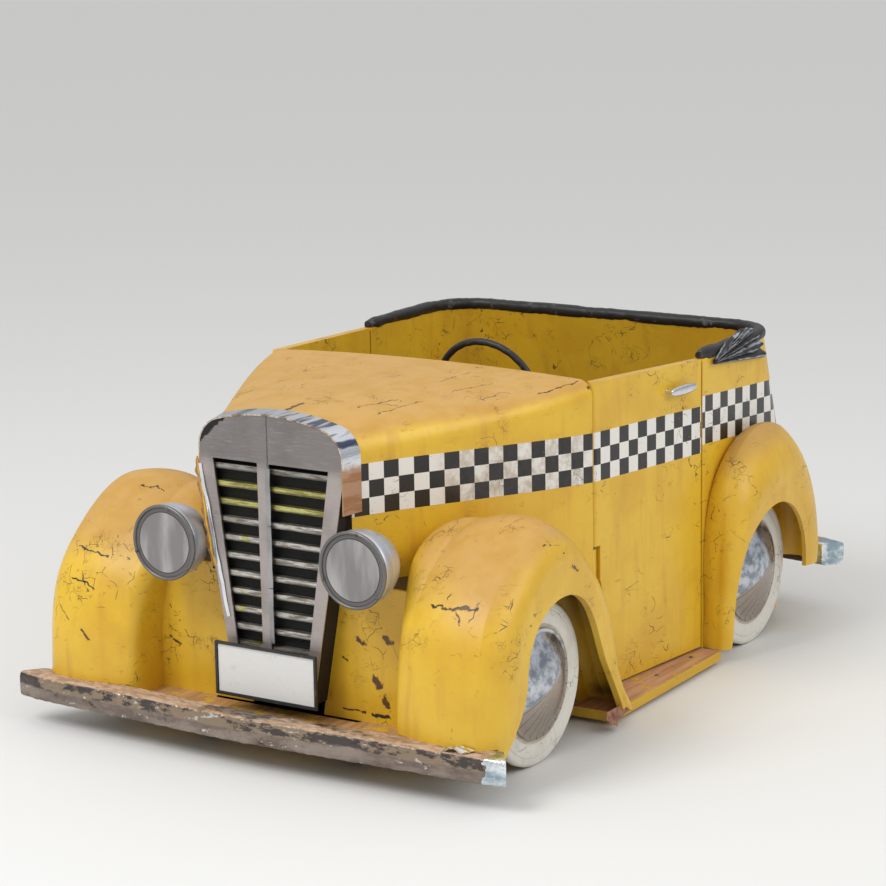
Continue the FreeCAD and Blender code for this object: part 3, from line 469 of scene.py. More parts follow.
# %% [markdown]
# The step and the shelf were painted yellow all over and stood on since, so the paint is left on
# their edges. The slats, the plated band and the header each wear in their own way, so each has
# a short function. Rows and edges are found from the place alone.

# %% worn boards and the grille
def step_board(name, top_light, top_dark):
    """Plank painted yellow on its edges and worn to pinkish wood where feet go."""
    f = Finish(name)
    grain = f.noise(0.014, 5.0, 0.6, (1.0, 0.08, 1.0))
    wood = f.mix(grain.ease(0.35, 0.68), top_light, top_dark)
    wood = f.mix(f.noise(0.03, 6.0, 0.7).ease(0.6, 0.72) * 0.7, wood, paint(126, 88, 62))
    paint_left = f.noise(0.035, 6.0, 0.7).ease(0.56, 0.60)
    top_face = f.facing_up().ease(0.4, 0.8)
    kept = 1 - top_face * (1 - paint_left)
    chip = f.noise(0.015, 5.0, 0.7).ease(0.60, 0.64)
    colour = f.mix(kept * (1 - chip * 0.9), wood, f.mix(grain, YELLOW, paint(196, 150, 50)))
    return f.finish(colour, 0.55 + grain * 0.2, grain + kept * 0.4, 0.0010)


def slat_finish(name, back_y):
    """Foil-covered slats, two of them yellow-green, in front of a black board at back_y.

    Slats are 35 mm apart from the top, so the rows passed tell which slat a place is on."""
    f = Finish(name)
    streak, cloud = f.noise(0.012, 5.0, 0.7, (0.25, 1.0, 2.0)), f.noise(0.05, 4.0)
    colour = f.mix(streak.ease(0.40, 0.62), paint(214, 210, 202), paint(128, 120, 108))
    down = (566 * MM - f.z) / (35 * MM)
    row = down.floor()
    green = ((row > 0.5) * (row < 2.5)).most((row > 2.5) * (f.x < 0.0) * (cloud > 0.60))
    colour = f.mix(green * 0.8, colour, f.mix(streak.ease(0.4, 0.6), paint(206, 200, 96), paint(148, 142, 70)))
    # Painted shade: below the top quarter of each 35 mm pitch the colour is darkened, as in the shaded gap between
    # slats; the next line makes the top slat darker.
    colour = f.mix((down - row).ease(0.24, 0.34) * 0.7, colour, paint(66, 60, 54))
    colour = f.mix((row < 0.5) * 0.45, colour, paint(78, 76, 72))
    pit = f.noise(0.009, 5.0, 0.7).ease(0.62, 0.66)
    colour = f.mix(pit, colour, paint(150, 118, 84))
    board = f.y > back_y
    colour = f.mix(board, colour, paint(14, 13, 12))
    return f.finish(colour, 0.34 + pit * 0.2 + board * 0.4, streak, 0.0014, metal=(0.85 - pit * 0.8) * (1 - board))


def band_finish(name):
    """Plated band: dark reflections run front to back over its shoulders, its lower end rusted."""
    f = Finish(name)
    streak = f.noise(0.028, 3.0, 0.5, (1.0, 0.12, 1.0))
    colour = f.mix(streak.ease(0.50, 0.58), paint(226, 229, 234), paint(84, 92, 116))
    colour = f.mix(streak.ease(0.40, 0.34) * 0.6, colour, paint(150, 156, 170))
    rust = (f.noise(0.02, 5.0, 0.65) * 0.03 + f.z).ease(0.604, 0.586)
    colour = f.mix(rust * 0.85, colour, paint(178, 128, 80))
    front = (f.y + f.noise(0.01, 3.0) * 0.003).ease(-0.6975, -0.6990)
    colour = f.mix(front * 0.8, colour, paint(176, 140, 84))
    crease = f.noise(0.008, 3.0, 0.6, (1.0, 0.3, 1.0))
    return f.finish(colour, 0.12 + rust * 0.35, crease + streak, 0.0008, metal=0.95 - rust * 0.6)


def header_finish(name):
    """Dull brushed plate, a fine upright crack in its middle, paler down the sides."""
    f = Finish(name)
    brush, cloud = f.noise(0.004, 3.0, 0.7, (0.1, 1.0, 1.0)), f.noise(0.08, 4.0)
    colour = f.mix(f.z.ease(0.585, 0.555), paint(142, 136, 134), paint(184, 174, 170))
    colour = f.mix(cloud.ease(0.4, 0.7) * 0.4, colour, paint(116, 110, 108))
    colour = f.mix(brush.ease(0.5, 0.8) * 0.3, colour, paint(208, 204, 200))
    seam = abs(f.x + f.noise(0.02, 3.0) * 0.008 - 4 * MM).ease(0.0012, 0.0004) * f.z.ease(0.565, 0.570)
    colour = f.mix(seam * 0.8, colour, paint(70, 64, 62))
    corner = (f.z - f.x * 0.9 + f.noise(0.012, 4.0) * 0.02).ease(0.752, 0.756)
    colour = f.mix(corner, colour, paint(18, 17, 18))
    behind = f.y > -0.6975
    inner = behind.most(corner)
    colour = f.mix(behind, colour, paint(34, 30, 26))
    relief = brush + cloud * 0.5 - seam
    return f.finish(colour, 0.40 + cloud * 0.1 + inner * 0.3, relief, 0.0010, metal=0.8 - inner * 0.8)


print("slats are 35 mm apart")


# %% lamps and plate
def lamp_finishes(name, centre_x, centre_z, front_y):
    """Spun bowl, pale behind and dull at its rim, and the streaked grey face inside a dark ring."""
    bowl = Finish(name + "_bowl")
    rings = bowl.noise(0.05, 2.0, 0.5, (0.2, 6.0, 0.2))
    rim = bowl.y.ease(front_y + 10 * MM, front_y + 8 * MM)
    tone = bowl.mix(rings.ease(0.4, 0.6), paint(206, 210, 219), paint(190, 194, 204))
    tone = bowl.mix(rim, tone, paint(118, 116, 115))
    smear = bowl.noise(0.06, 4.0)
    shell = bowl.finish(tone, 0.30 + smear * 0.16, rings, 0.0003, metal=0.72 - rim * 0.1)
    f = Finish(name + "_face")
    across, above = abs(f.x) - centre_x, f.z - centre_z
    radius = (across * across + above * above) ** 0.5
    streak = f.noise(0.040, 3.0, 0.5, (1.0, 1.0, 0.22))
    tone = f.mix(streak.ease(0.34, 0.66), paint(134, 131, 130), paint(182, 180, 178))
    tone = f.mix(radius.ease(60 * MM, 61 * MM), tone, paint(104, 101, 99))
    tone = f.mix(abs(radius - 60.5 * MM).ease(1.4 * MM, 0.5 * MM), tone, paint(58, 54, 52))
    speck = f.noise(0.006, 4.0, 0.7).ease(0.70, 0.73)
    tone = f.mix(speck, tone, paint(90, 76, 60))
    face = f.finish(tone, 0.34 + streak * 0.1, streak, 0.0004, metal=0.35)
    return shell, face


def plate_enamel(name, low, high):
    """Blank white plate inside a thin dark rim."""
    f = Finish(name)
    edge = 6.0 * MM
    rim = (f.x * f.x > (high.x - edge) ** 2).most(f.z < low.z + edge).most(f.z > high.z - edge)
    scuff = f.noise(0.03, 6.0, 0.7).ease(0.55, 0.8)
    colour = f.mix(scuff * 0.35, paint(226, 225, 222), paint(158, 150, 138))
    colour = f.mix(rim, colour, f.mix(scuff, paint(40, 40, 42), paint(92, 90, 88)))
    return f.finish(colour, 0.42 + scuff * 0.1, f.noise(0.01, 4.0), 0.0005)


print("the plate's rim is 6 mm wide")

# %% the shelf of finishes
finishes = {}


def stock(maker, name, *values, **more):
    """Makes a finish once and keeps it under its name."""
    finishes[name] = maker(name, *values, **more)


stock(timber, "tan_wood", paint(186, 140, 86), paint(140, 98, 56))
stock(timber, "dark_wood", paint(96, 72, 48), paint(64, 46, 30))
stock(timber, "white_wood", paint(206, 198, 182), paint(176, 164, 140), worn=0.3)
stock(step_board, "step_wood", paint(204, 160, 126), paint(176, 128, 94))
stock(step_board, "shelf_wood", paint(198, 158, 104), paint(166, 122, 76))
stock(metal, "steel", paint(130, 126, 122), paint(92, 86, 80), 0.35, pitted=0.8)
stock(metal, "grille_metal", paint(178, 178, 180), paint(158, 158, 160), 0.34, (0.12, 1.0, 1.0), 0.1, 0.3)
stock(metal, "band_chrome", paint(232, 233, 236), paint(200, 202, 208), 0.06, streaks=0.2)
stock(slat_finish, "slat_metal", -679.5 * MM)
stock(header_finish, "header_metal")
stock(band_finish, "grille_plate")
stock(plate_enamel, "plate_white", *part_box("number_plate"))
stock(whitewall, "whitewall")
stock(enamel, "black_edge", paint(30, 29, 30), paint(92, 86, 78), 0.42, 0.5, 0.01)
stock(leathercloth, "hood_cloth", paint(26, 25, 27), paint(120, 120, 122))
stock(leathercloth, "seat_cloth", paint(44, 32, 28), paint(96, 72, 58), 0.003, fade=0.3)
print(len(finishes), "finishes besides the yellows")

# %% [markdown]
# ## Marks on each panel
# The deep marks are few, so each is listed, in millimetres: two ends, a width, a colour. A
# fender is rubbed on its crest, the bonnet all over its top, and a door wrinkles the most.
# Masks keep the paint off faces that were never painted and colour them near-black brown, which is painted shade.

# %% yellow panels
# The three masks below pick unpainted inner and downward faces, which are coloured near-black brown as painted
# shade.
def under_bonnet(f):
    """Inner faces of the bonnet: neither looking outwards nor upwards."""
    across, _, up = f.normal()
    return (across * f.x + up * 0.3 < 0.01) * (f.y < -0.16)


def behind_apron(f):
    """The back of the apron, 7 mm behind its painted face."""
    return f.y > -0.648


def wheel_arch(f):
    """The hollow side of a fender, away from its outer skin."""
    return (abs(f.x) < 0.470) * f.facing_up().ease(-0.25, -0.6)


NEAR_CRACKS = [
    (372, -708, 349, 470, -706, 354, 2.6, SOOT),
    (398, -708, 347.5, 455, -706, 352.5, 5, BROWN),
    (462, -722, 332, 468, -700, 366, 1.4, SOOT),
    (430, -716, 345, 446, -728, 326, 2.2, BROWN),
    (406, -690, 372, 398, -700, 352, 1.2, SOOT),
    (430, -683, 378, 424, -702, 356, 1.2, SOOT),
    (516, -543, 444, 530, -500, 420, 1.4, SOOT),
    (528, -480, 400, 533, -450, 372, 2.6, BROWN),
    (526, -640, 300, 532, -612, 330, 3, paint(150, 126, 30)),
    (455, -760, 165, 445, -762, 120, 1.2, SOOT)]
FAR_CRACKS = [
    (-470, -704, 357, -390, -712, 349, 2.2, SOOT),
    (-462, -740, 303, -402, -742, 291, 2, SOOT),
    (-440, -735, 312, -415, -745, 282, 1.4, SOOT),
    (-415, -572, 462, -358, -564, 456, 1.4, SOOT),
    (-485, -754, 246, -455, -760, 220, 1.6, SOOT),
    (-420, -764, 205, -404, -765, 190, 5, BROWN)]
BONNET_MARKS = [
    (3, -662, 666, -4, -574, 670, 6, BROWN),
    (100, -540, 668, 135, -450, 670, 2.2, BROWN),
    (118, -500, 668, 160, -480, 668, 1.8, BROWN),
    (150, -545, 660, 176, -430, 668, 1.8, BROWN),
    (132, -300, 678, 146, -208, 682, 1.2, SOOT),
    (190, -345, 671, 230, -260, 676, 1.8, BROWN),
    (338, -262, 668, 368, -160, 672, 2.2, SOOT),
    (384, -152, 668, 389, -150, 560, 4, BROWN)]
APRON_MARKS = [
    (170, -655, 243, 178, -655, 236, 9, BROWN),
    (132, -655, 202, 142, -655, 196, 4, BROWN),
    (230, -655, 256, 238, -655, 246, 11, BROWN),
    (205, -655, 168, 214, -655, 158, 12, BROWN),
    (226, -655, 134, 231, -655, 120, 11, BROWN),
    (130, -655, 101, 180, -655, 98, 3.4, BROWN),
    (196, -655, 98, 236, -655, 95, 6, SOOT),
    (214, -655, 300, 226, -655, 262, 1.2, SOOT),
    (-284, -655, 186, -262, -655, 170, 5, BROWN),
    (-290, -655, 262, -236, -655, 190, 1.2, SOOT)]
panels = {kind: yellow("yellow_" + kind, *amounts, **more) for kind, amounts, more in (
    ("plain", (0.75, 0.3, 0.7, 0.6), {"marks": APRON_MARKS, "bare_shaded": behind_apron}),
    ("inside", (0.25, 0.2, 0.35, 0.3), {}),
    ("fender_near", (0.45, 0.85, 0.35, 0.2), {"marks": NEAR_CRACKS, "thin": (1.0, 0.2, 1.0), "bare_shaded": wheel_arch}),
    ("fender_far", (0.45, 0.85, 0.35, 0.2), {"marks": FAR_CRACKS, "thin": (1.0, 0.2, 1.0), "bare_shaded": wheel_arch}),
    ("bonnet", (0.35, 1.0, 0.35, 0.7),
     {"band": bonnet_band, "marks": BONNET_MARKS, "thin": (1.0, 1.0, 0.2), "bare_shaded": under_bonnet}),
    ("door", (0.35, 0.2, 1.0, 0.25), {"band": door_band}),
    ("tail", (0.4, 0.3, 0.5, 0.25), {"band": tail_band}))}
print(len(panels), "yellow panels")

# %% [markdown]
# The engineering nodes keep their shape and only change clothes. A name without a side dresses
# both sides. Nodes that get a new shape below are left out.

# %% dress the engineering nodes
def dress(finish, *names):
    """Puts one finish on every material slot of the named nodes, for left and right alike."""
    for name in names:
        found = [n for n in nodes if n == name or n in (name + "_left", name + "_right")]
        if not found:
            raise ValueError(name + " is not a node")
        for node in found:
            mesh = nodes[node].data
            for slot in range(len(mesh.materials)):
                mesh.materials[slot] = finish


wardrobe = {
    "front_apron": panels["plain"], "seat_base dash_board toe_board": panels["inside"],
    "front_fender_left rear_fender_left": panels["fender_near"],
    "front_fender_right rear_fender_right": panels["fender_far"],
    "bonnet": panels["bonnet"], "door": panels["door"], "rear_quarter back_panel": panels["tail"],
    "floor_board chassis_frame axle_supports_front axle_supports_rear": finishes["dark_wood"],
    "front_shelf": finishes["shelf_wood"], "running_board": finishes["step_wood"],
    "wheel_disc_front wheel_disc_rear": finishes["white_wood"],
    "axle_front axle_rear hinge_rod rear_bumper_irons steering_column": finishes["steel"],
    "grille_frame": finishes["header_metal"], "grille_slats": finishes["slat_metal"],
    "grille_band": finishes["grille_plate"], "number_plate": finishes["plate_white"]}
for names, finish in wardrobe.items():
    dress(finish, *names.split())
print("dressed", sum(len(names.split()) for names in wardrobe), "kinds of node; the rest get new shapes")

# %% [markdown]
# ## Surfaces from arrays
# Each new piece is one or more grids of points. A turned piece is a profile carried round an
# axis, a bar is a section carried along a path, and a sheet is a height over two parameters.
# numpy works out every point at once, and one function turns the grids into a closed mesh.

# %% grids into meshes
import bmesh


def grid_faces(rows, columns, wrap, start):
    """Quads between neighbouring rows and columns, as index arrays; wrap joins the ends."""
    i = np.arange(rows if wrap[0] else rows - 1)[:, None]
    j = np.arange(columns if wrap[1] else columns - 1)[None, :]
    ring = [(i, j), (i + 1, j), (i + 1, j + 1), (i, j + 1)]
    return np.stack([(a % rows) * columns + b % columns for a, b in ring], -1).reshape(-1, 4) + start


def piece(name, body, finish, grids, wrap=(False, True), ends=False, crease=40.0, closed=True):
    """Joins grids of shape (rows, columns, 3) into one mesh that rides on a body.

    ends closes the first and last row with one face each; creases sharper than crease degrees
    stay sharp; a closed shape has its doubles merged and its faces turned outwards."""
    points, faces, count = [], [], 0
    for grid in grids:
        rows, columns = grid.shape[:2]
        points.append(grid.reshape(-1, 3))
        faces += grid_faces(rows, columns, wrap, count).tolist()
        if ends:
            first = np.arange(columns) + count
            faces += [first[::-1].tolist(), (first + (rows - 1) * columns).tolist()]
        count += rows * columns
    mesh = bpy.data.meshes.new(name)
    mesh.from_pydata(np.concatenate(points).tolist(), [], faces)
    work = bmesh.new()
    work.from_mesh(mesh)
    bmesh.ops.remove_doubles(work, verts=work.verts, dist=1e-6)
    if closed:
        bmesh.ops.recalc_face_normals(work, faces=work.faces)
    work.to_mesh(mesh)
    work.free()
    mesh.shade_smooth()
    mesh.set_sharp_from_angle(angle=math.radians(crease))
    mesh.materials.append(finish)
    made = link(name, mesh)
    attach(made, body)
    return made


print("two rows of three points make", len(grid_faces(2, 3, (False, True), 0)), "faces")


# %% bars, turned shapes and ripples
def frame_along(path, up):
    """Unit directions across and above a path: across is path direction times up."""
    along = np.gradient(path, axis=0)
    along /= np.linalg.norm(along, axis=1, keepdims=True)
    across = np.cross(along, np.broadcast_to(up, path.shape))
    across /= np.linalg.norm(across, axis=1, keepdims=True)
    return across, np.cross(across, along)


def swept(path, section, up=(0, 0, 1), scale=1.0):
    """Section points (n, 2) set across and above each path point, times scale there."""
    path = np.asarray(path, float)
    across, above = frame_along(path, up)
    scale = np.broadcast_to(np.asarray(scale, float), (len(path),))[:, None, None]
    section = np.asarray(section) if np.ndim(section) == 3 else np.asarray(section)[None]
    return path[:, None] + scale * (section[..., :1] * across[:, None] + section[..., 1:] * above[:, None])


def turned(profile, centre, axis, steps=72):
    """Profile of (radius, height) carried round an axis: centre + height along it + radius round it."""
    axis = np.asarray(axis, float)
    u = np.cross(axis, (0, 0, 1)) if abs(axis[2]) < 0.9 else np.cross(axis, (0, 1, 0))
    u /= np.linalg.norm(u)
    v = np.cross(axis, u)
    angle = np.linspace(0, 2 * np.pi, steps, endpoint=False)[:, None, None]
    r, h = np.asarray(profile, float).T[:, None, :, None]
    return np.asarray(centre) + h * axis + r * (np.cos(angle) * u + np.sin(angle) * v)


def arc(centre, radii, start, stop, count=8):
    """Points of an ellipse arc in the plane, angles in degrees."""
    t = np.radians(np.linspace(start, stop, count))
    return np.stack([centre[0] + radii[0] * np.cos(t), centre[1] + radii[1] * np.sin(t)], 1)


def oval(across, above, count=16, power=2.0):
    """Closed superellipse; power above 2 squares it off towards a rounded bar."""
    t = np.linspace(0, 2 * np.pi, count, endpoint=False)
    return np.stack([across * np.sign(np.cos(t)) * abs(np.cos(t)) ** (2 / power),
                     above * np.sign(np.sin(t)) * abs(np.sin(t)) ** (2 / power)], 1)


def dense(points, count, smooth=0):
    """The same line with count points at equal steps; smooth rounds its corners."""
    points = np.asarray(points, float)
    for _ in range(smooth):
        inner = np.stack([0.75 * points[:-1] + 0.25 * points[1:], 0.25 * points[:-1] + 0.75 * points[1:]], 1)
        points = np.concatenate([points[:1], inner.reshape(-1, points.shape[1]), points[-1:]])
    steps = np.r_[0, np.cumsum(np.linalg.norm(np.diff(points, axis=0), axis=1))]
    at = np.linspace(0, steps[-1], count)
    return np.stack([np.interp(at, steps, column) for column in points.T], 1)


def ripple(points, size, amount, seed):
    """A height over space: sixteen sine waves of about one size in random directions, summed."""
    random = np.random.default_rng(seed)
    ways = random.normal(size=(16, 3))
    ways *= (2 * np.pi / size) / np.linalg.norm(ways, axis=1, keepdims=True) * random.uniform(0.6, 1.6, (16, 1))
    return amount / 3 * np.sin(points @ ways.T + random.uniform(0, 6.28, 16)).sum(-1)


print("a turned grid has", turned([(0, 0), (1, 1)], (0, 0, 0), (1, 0, 0)).shape, "numbers")

# %% [markdown]
# ## Wheels
# The tyre is a wooden ring painted white, with a rounded tread and a groove pressed near the
# hubcap. The cap is spun from sheet: a rolled lip, a small step and a dome. Both are turned from
# profiles whose places come from the engineering boxes, so they spin with their wheel.

# %% tyres and hubcaps
WHEEL_R, RIM_R, CAP_R, DOME = 160 * MM, 116 * MM, 108 * MM, 30 * MM


def hubcap_chrome(name, centre_y):
    """Plated sheet with painted reflections: one half bright, the other warm mid-grey, and dark reflected lines that
    fan out from the middle.
    """
    f = Finish(name)
    across, above = f.y - centre_y, f.z - WHEEL_R
    angle = above.math("ARCTAN2", across)
    radius = (across * across + above * above) ** 0.5
    fan = (angle * (13 / math.pi) + 0.5) % 1.0
    # Painted reflection: split makes one half of the cap bright silver and the other warm mid-grey, and line draws
    # dark reflected lines fanning out.
    split = (above - across * 0.45 + f.noise(0.03, 3.0) * 0.012).ease(0.003, 0.012)
    line = abs(fan - 0.5).ease(0.055, 0.015) * radius.ease(0.008, 0.03) * (1 - split)
    cloud, blotch = f.noise(0.05, 5.0, 0.6), f.noise(0.022, 5.0, 0.65)
    silver = f.mix(blotch.ease(0.40, 0.62), paint(204, 209, 217), paint(142, 149, 160))
    colour = f.mix(split, f.mix(cloud, paint(182, 170, 160), paint(160, 149, 140)), silver)
    colour = f.mix(line * 0.85, colour, paint(70, 62, 58))
    spot = f.noise(0.009, 5.0, 0.7).ease(0.72, 0.75)
    colour = f.mix(spot, colour, BROWN)
    rough, relief = 0.20 + cloud * 0.16 + spot * 0.3, cloud * 0.4 + line * 0.2
    return f.finish(colour, rough, relief, 0.0010, metal=0.9 - spot * 0.8)


for end in ("front", "rear"):
    low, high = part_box("tyre_" + end + "_left")
    inner, face = low.x, high.x
    centre_y = (low.y + high.y) / 2
    chrome = hubcap_chrome("hubcap_chrome_" + end, centre_y)
    wall = face - inner
    k = 7 * MM
    tyre = np.concatenate([[(RIM_R, 0)], arc((WHEEL_R - k, k), (k, k), -90, 0),
                           arc((WHEEL_R - k, wall - k), (k, k), 0, 90),
                           [(148 * MM, wall)], arc((144 * MM, wall), (2 * MM, 1.2 * MM), 0, -180, 7),
                           [(124 * MM, wall), (122 * MM, wall - 1.5 * MM), (RIM_R, wall - 1.5 * MM), (RIM_R, 0)]])
    lip = arc((CAP_R - 2 * MM, 2 * MM), (2 * MM, 2 * MM), -90, 90, 7)
    share = np.linspace(1, 0, 14)
    dome = np.stack([(CAP_R - 9 * MM) * share, 4 * MM + DOME * (1 - share ** 2)], 1)
    cap = np.concatenate([[(0, -2 * MM), (CAP_R - 2 * MM, -2 * MM)], lip, [(CAP_R - 6 * MM, 3 * MM)], dome])
    for side, sign in SIDES:
        body, tail = "wheel_" + end + "_" + side, end + "_" + side
        hub = (sign * inner, centre_y, WHEEL_R)
        rim = piece("whitewall_" + tail, body, finishes["whitewall"],
                    [turned(tyre, hub, (sign, 0, 0), 96)], wrap=(True, False))
        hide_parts("tyre_" + tail)
        shine = piece("spun_cap_" + tail, body, chrome,
                      [turned(cap, (sign * face, centre_y, WHEEL_R), (sign, 0, 0), 96)], wrap=(True, False))
        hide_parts("hubcap_" + tail)
print("four tyres and caps, wheel radius", WHEEL_R)

# %% [markdown]
# ## Headlamps
# Each lamp is a spun bowl with a rolled dull rim over a grey disc, held by three small screws.
# The bowl is turned from a short barrel and a quarter ellipse.

# %% lamps
LAMP_X, LAMP_R, LAMP_DEPTH, BARREL = 221 * MM, 75 * MM, 112 * MM, 18 * MM


def disc(radius, thick, dome):
    """Profile of a domed disc: pole, dome, rim, pole behind."""
    share = np.linspace(0, 1, 8)
    front = np.stack([radius * share, -dome * (1 - share ** 2)], 1)
    return np.concatenate([front, [(radius, thick), (0, thick)]])


screw = np.concatenate([arc((0, 0), (3.2 * MM, 1.8 * MM), 90, 0, 6), [(3.2 * MM, -1.0 * MM), (0, -1.0 * MM)]])
low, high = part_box("lamp_bucket_left")
lamp_z = high.z - LAMP_R
bowl_finish, face_finish = lamp_finishes("lamp", LAMP_X, lamp_z, low.y)
for side, sign in SIDES:
    low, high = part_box("lamp_bucket_" + side)
    centre = np.array([sign * LAMP_X, low.y, lamp_z])
    rolled = arc((LAMP_R - 3 * MM, 4 * MM), (3.4 * MM, 4 * MM), 180, 360 + 90, 14)
    bowl = np.concatenate([[(0, 9 * MM), (LAMP_R - 6.4 * MM, 9 * MM)], rolled, [(LAMP_R - 1.5 * MM, 10 * MM)],
                           arc((0, BARREL), (LAMP_R - 1.5 * MM, LAMP_DEPTH - BARREL), 0, 90, 16)])
    stub = [(7 * MM, 0), (7 * MM, 40 * MM), (0, 40 * MM), (0, 0), (7 * MM, 0)]
    shell = piece("lamp_bowl_" + side, "car_body", bowl_finish,
                  [turned(bowl, centre, (0, 1, 0), 96),
                   turned(stub, (centre[0], high.y - 19 * MM, low.z), (0, 0, 1), 24)], wrap=(True, False))
    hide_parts("lamp_bucket_" + side)
    face = piece("lamp_disc_" + side, "car_body", face_finish,
                 [turned(disc(LAMP_R - 6.8 * MM, 3 * MM, 1.5 * MM), centre + (0, 4 * MM, 0), (0, 1, 0), 96)],
                 wrap=(True, False))
    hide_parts("lamp_lens_" + side)
    turns = np.radians([80, 200, 320])
    spots = centre + np.stack([np.cos(turns), 0 * turns, np.sin(turns)], 1) * (LAMP_R - 4 * MM)
    piece("lamp_screws_" + side, "car_body", finishes["steel"],
          [turned(screw, spot, (0, -1, 0), 12) for spot in spots], wrap=(True, False))
print("lamps at", lamp_z)

# %% [markdown]
# ## Steering wheel and door handles
# The wheel rim is a thin black hoop with grips pressed under it, on three flat spokes. The handle
# is a plated bar whose section swells in the middle and closes at its ends, on two feet.

# %% steering wheel
TILT = math.radians(12)
hub_at = np.array([97, -60, 604]) * MM
wheel_up = np.array([0, math.cos(TILT), math.sin(TILT)])
wheel_x, wheel_y = np.array([1.0, 0, 0]), np.array([0, math.sin(TILT), -math.cos(TILT)])
HOOP_R, HOOP_THICK = 117.5 * MM, 7.5 * MM
turn = np.linspace(0, 2 * np.pi, 128, endpoint=False)[:, None, None]
around = np.linspace(0, 2 * np.pi, 14, endpoint=False)[None, :, None]
grip = HOOP_THICK - 0.7 * MM * (0.5 + 0.5 * np.cos(26 * turn)) * (np.cos(around - 4) > 0.2)
outward_way = np.cos(turn) * wheel_x + np.sin(turn) * wheel_y
hoop = hub_at + outward_way * (HOOP_R + grip * np.cos(around)) + wheel_up * grip * np.sin(around)
helm = piece("steering_hoop", "helm", finishes["black_edge"], [hoop], wrap=(True, True))
spokes = []
for degrees in (90, 210, 330):
    way = math.cos(math.radians(degrees)) * wheel_x + math.sin(math.radians(degrees)) * wheel_y
    path = hub_at + wheel_up * 2.5 * MM + way * np.linspace(22 * MM, HOOP_R - 3 * MM, 12)[:, None]
    waist = 1 - 0.28 * np.sin(np.linspace(0, np.pi, 12))
    section = oval(11 * MM, 2.5 * MM, 16, 3.5)[None] * np.stack([waist, np.ones(12)], 1)[:, None]
    spokes.append(swept(path, section, wheel_up))
piece("steering_spokes", "helm", finishes["white_wood"], spokes, ends=True)
boss = [(11.4 * MM, -6 * MM), (28 * MM, -6 * MM), (30 * MM, -4 * MM), (30 * MM, 12 * MM)]
boss = np.concatenate([boss, arc((22 * MM, 12 * MM), (8 * MM, 7 * MM), 0, 90, 6), [(0, 21 * MM), (0, 13 * MM),
                       (11.4 * MM, 13 * MM), (11.4 * MM, -6 * MM)]])
piece("steering_boss", "helm", finishes["black_edge"], [turned(boss, hub_at, wheel_up, 40)],
      wrap=(True, False))
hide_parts("steering_wheel")
print("steering hoop of radius", HOOP_R, "on", len(spokes), "spokes")

# %% door handles
for side, sign in SIDES:
    low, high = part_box("door_handle_" + side)
    out = high.x if sign > 0 else -low.x
    lean = np.array([DOOR_LEAN, 1.0]) / math.hypot(DOOR_LEAN, 1.0)
    rear = np.array([out - 6.2 * MM, high.y - 1 * MM])
    count, length = 28, (high.y - low.y - 2 * MM) / lean[1]
    share = np.linspace(0, 1, count)
    plan = rear - lean * (length * (1 - share))[:, None]
    path = np.stack([sign * plan[:, 0], plan[:, 1], np.full(count, (low.z + high.z) / 2)], 1)
    swell = np.sin(np.pi * np.clip(share, 0.004, 0.996)) ** 0.28
    bar = swept(path, oval(5.8 * MM, 10.6 * MM, 20, 2.6), scale=swell)
    feet = [turned([(0, 0), (6 * MM, 0), (5 * MM, 5 * MM), (5 * MM, 18 * MM), (0, 18 * MM)],
                   path[k] - (sign * 17.6 * MM, 0, 0), (sign, 0, 0), 20).transpose(1, 0, 2) for k in (4, 23)]
    handle = piece("door_pull_" + side, "swing_door_" + side, finishes["band_chrome"],
                   [bar] + feet, ends=True)
    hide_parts("door_handle_" + side)
print("two door pulls of", count, "rings each")

# %% [markdown]
# ## Bumpers
# Each bumper is a plank wrapped in foil that has gone grey and split. The section is a rounded
# rectangle between the bowed front line and the straighter back line, so it is mitred at the
# ends. Ripples of two sizes crumple the foil, and a brighter cap is wrapped over the near end.

# %% bumper planks
def bumper_grid(half, mitre, bow, tip, heel, depth, low, high, ways, seed):
    """Front line and back line joined by a rounded section: corner points blend the two lines."""
    share = np.linspace(-1, 1, 150)
    front = dense([(-half, tip), (-half + mitre, bow), (0, 0), (half - mitre, bow), (half, tip)], 150)
    back = dense([(-half + 36 * MM, heel), (0, depth), (half - 36 * MM, heel)], 150)
    section = oval(1.0, 1.0, 40, 7.0) * 0.5 + 0.5
    plan = front[:, None] * (1 - section[None, :, :1]) + back[:, None] * section[None, :, :1]
    height = low + (high - low) * np.broadcast_to(section[None, :, 1], plan.shape[:2])
    grid = np.stack([plan[..., 0], ways * plan[..., 1], height], -1)
    middle = grid.mean(1, keepdims=True)
    out = grid - middle
    out /= np.linalg.norm(out, axis=-1, keepdims=True)
    crumple = ripple(grid, 26 * MM, 0.9 * MM, seed) + ripple(grid, 8 * MM, 0.35 * MM, seed + 1)
    return grid + out * (np.clip(crumple, -2 * MM, 0.6 * MM) * (1 - 0.4 * abs(share)[:, None]))[..., None]


front_low, front_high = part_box("front_bumper")
front_plank = bumper_grid(front_high.x, 49 * MM, 20 * MM, 32 * MM, 81 * MM, 46 * MM, front_low.z, front_high.z, 1, 3)
front_plank[..., 1] += front_low.y
rear_low, rear_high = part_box("rear_bumper")
rear_plank = bumper_grid(rear_high.x, 82 * MM, 24 * MM, 58 * MM, 96 * MM, 46 * MM, rear_low.z, rear_high.z, -1, 5)
rear_plank[..., 1] += rear_high.y


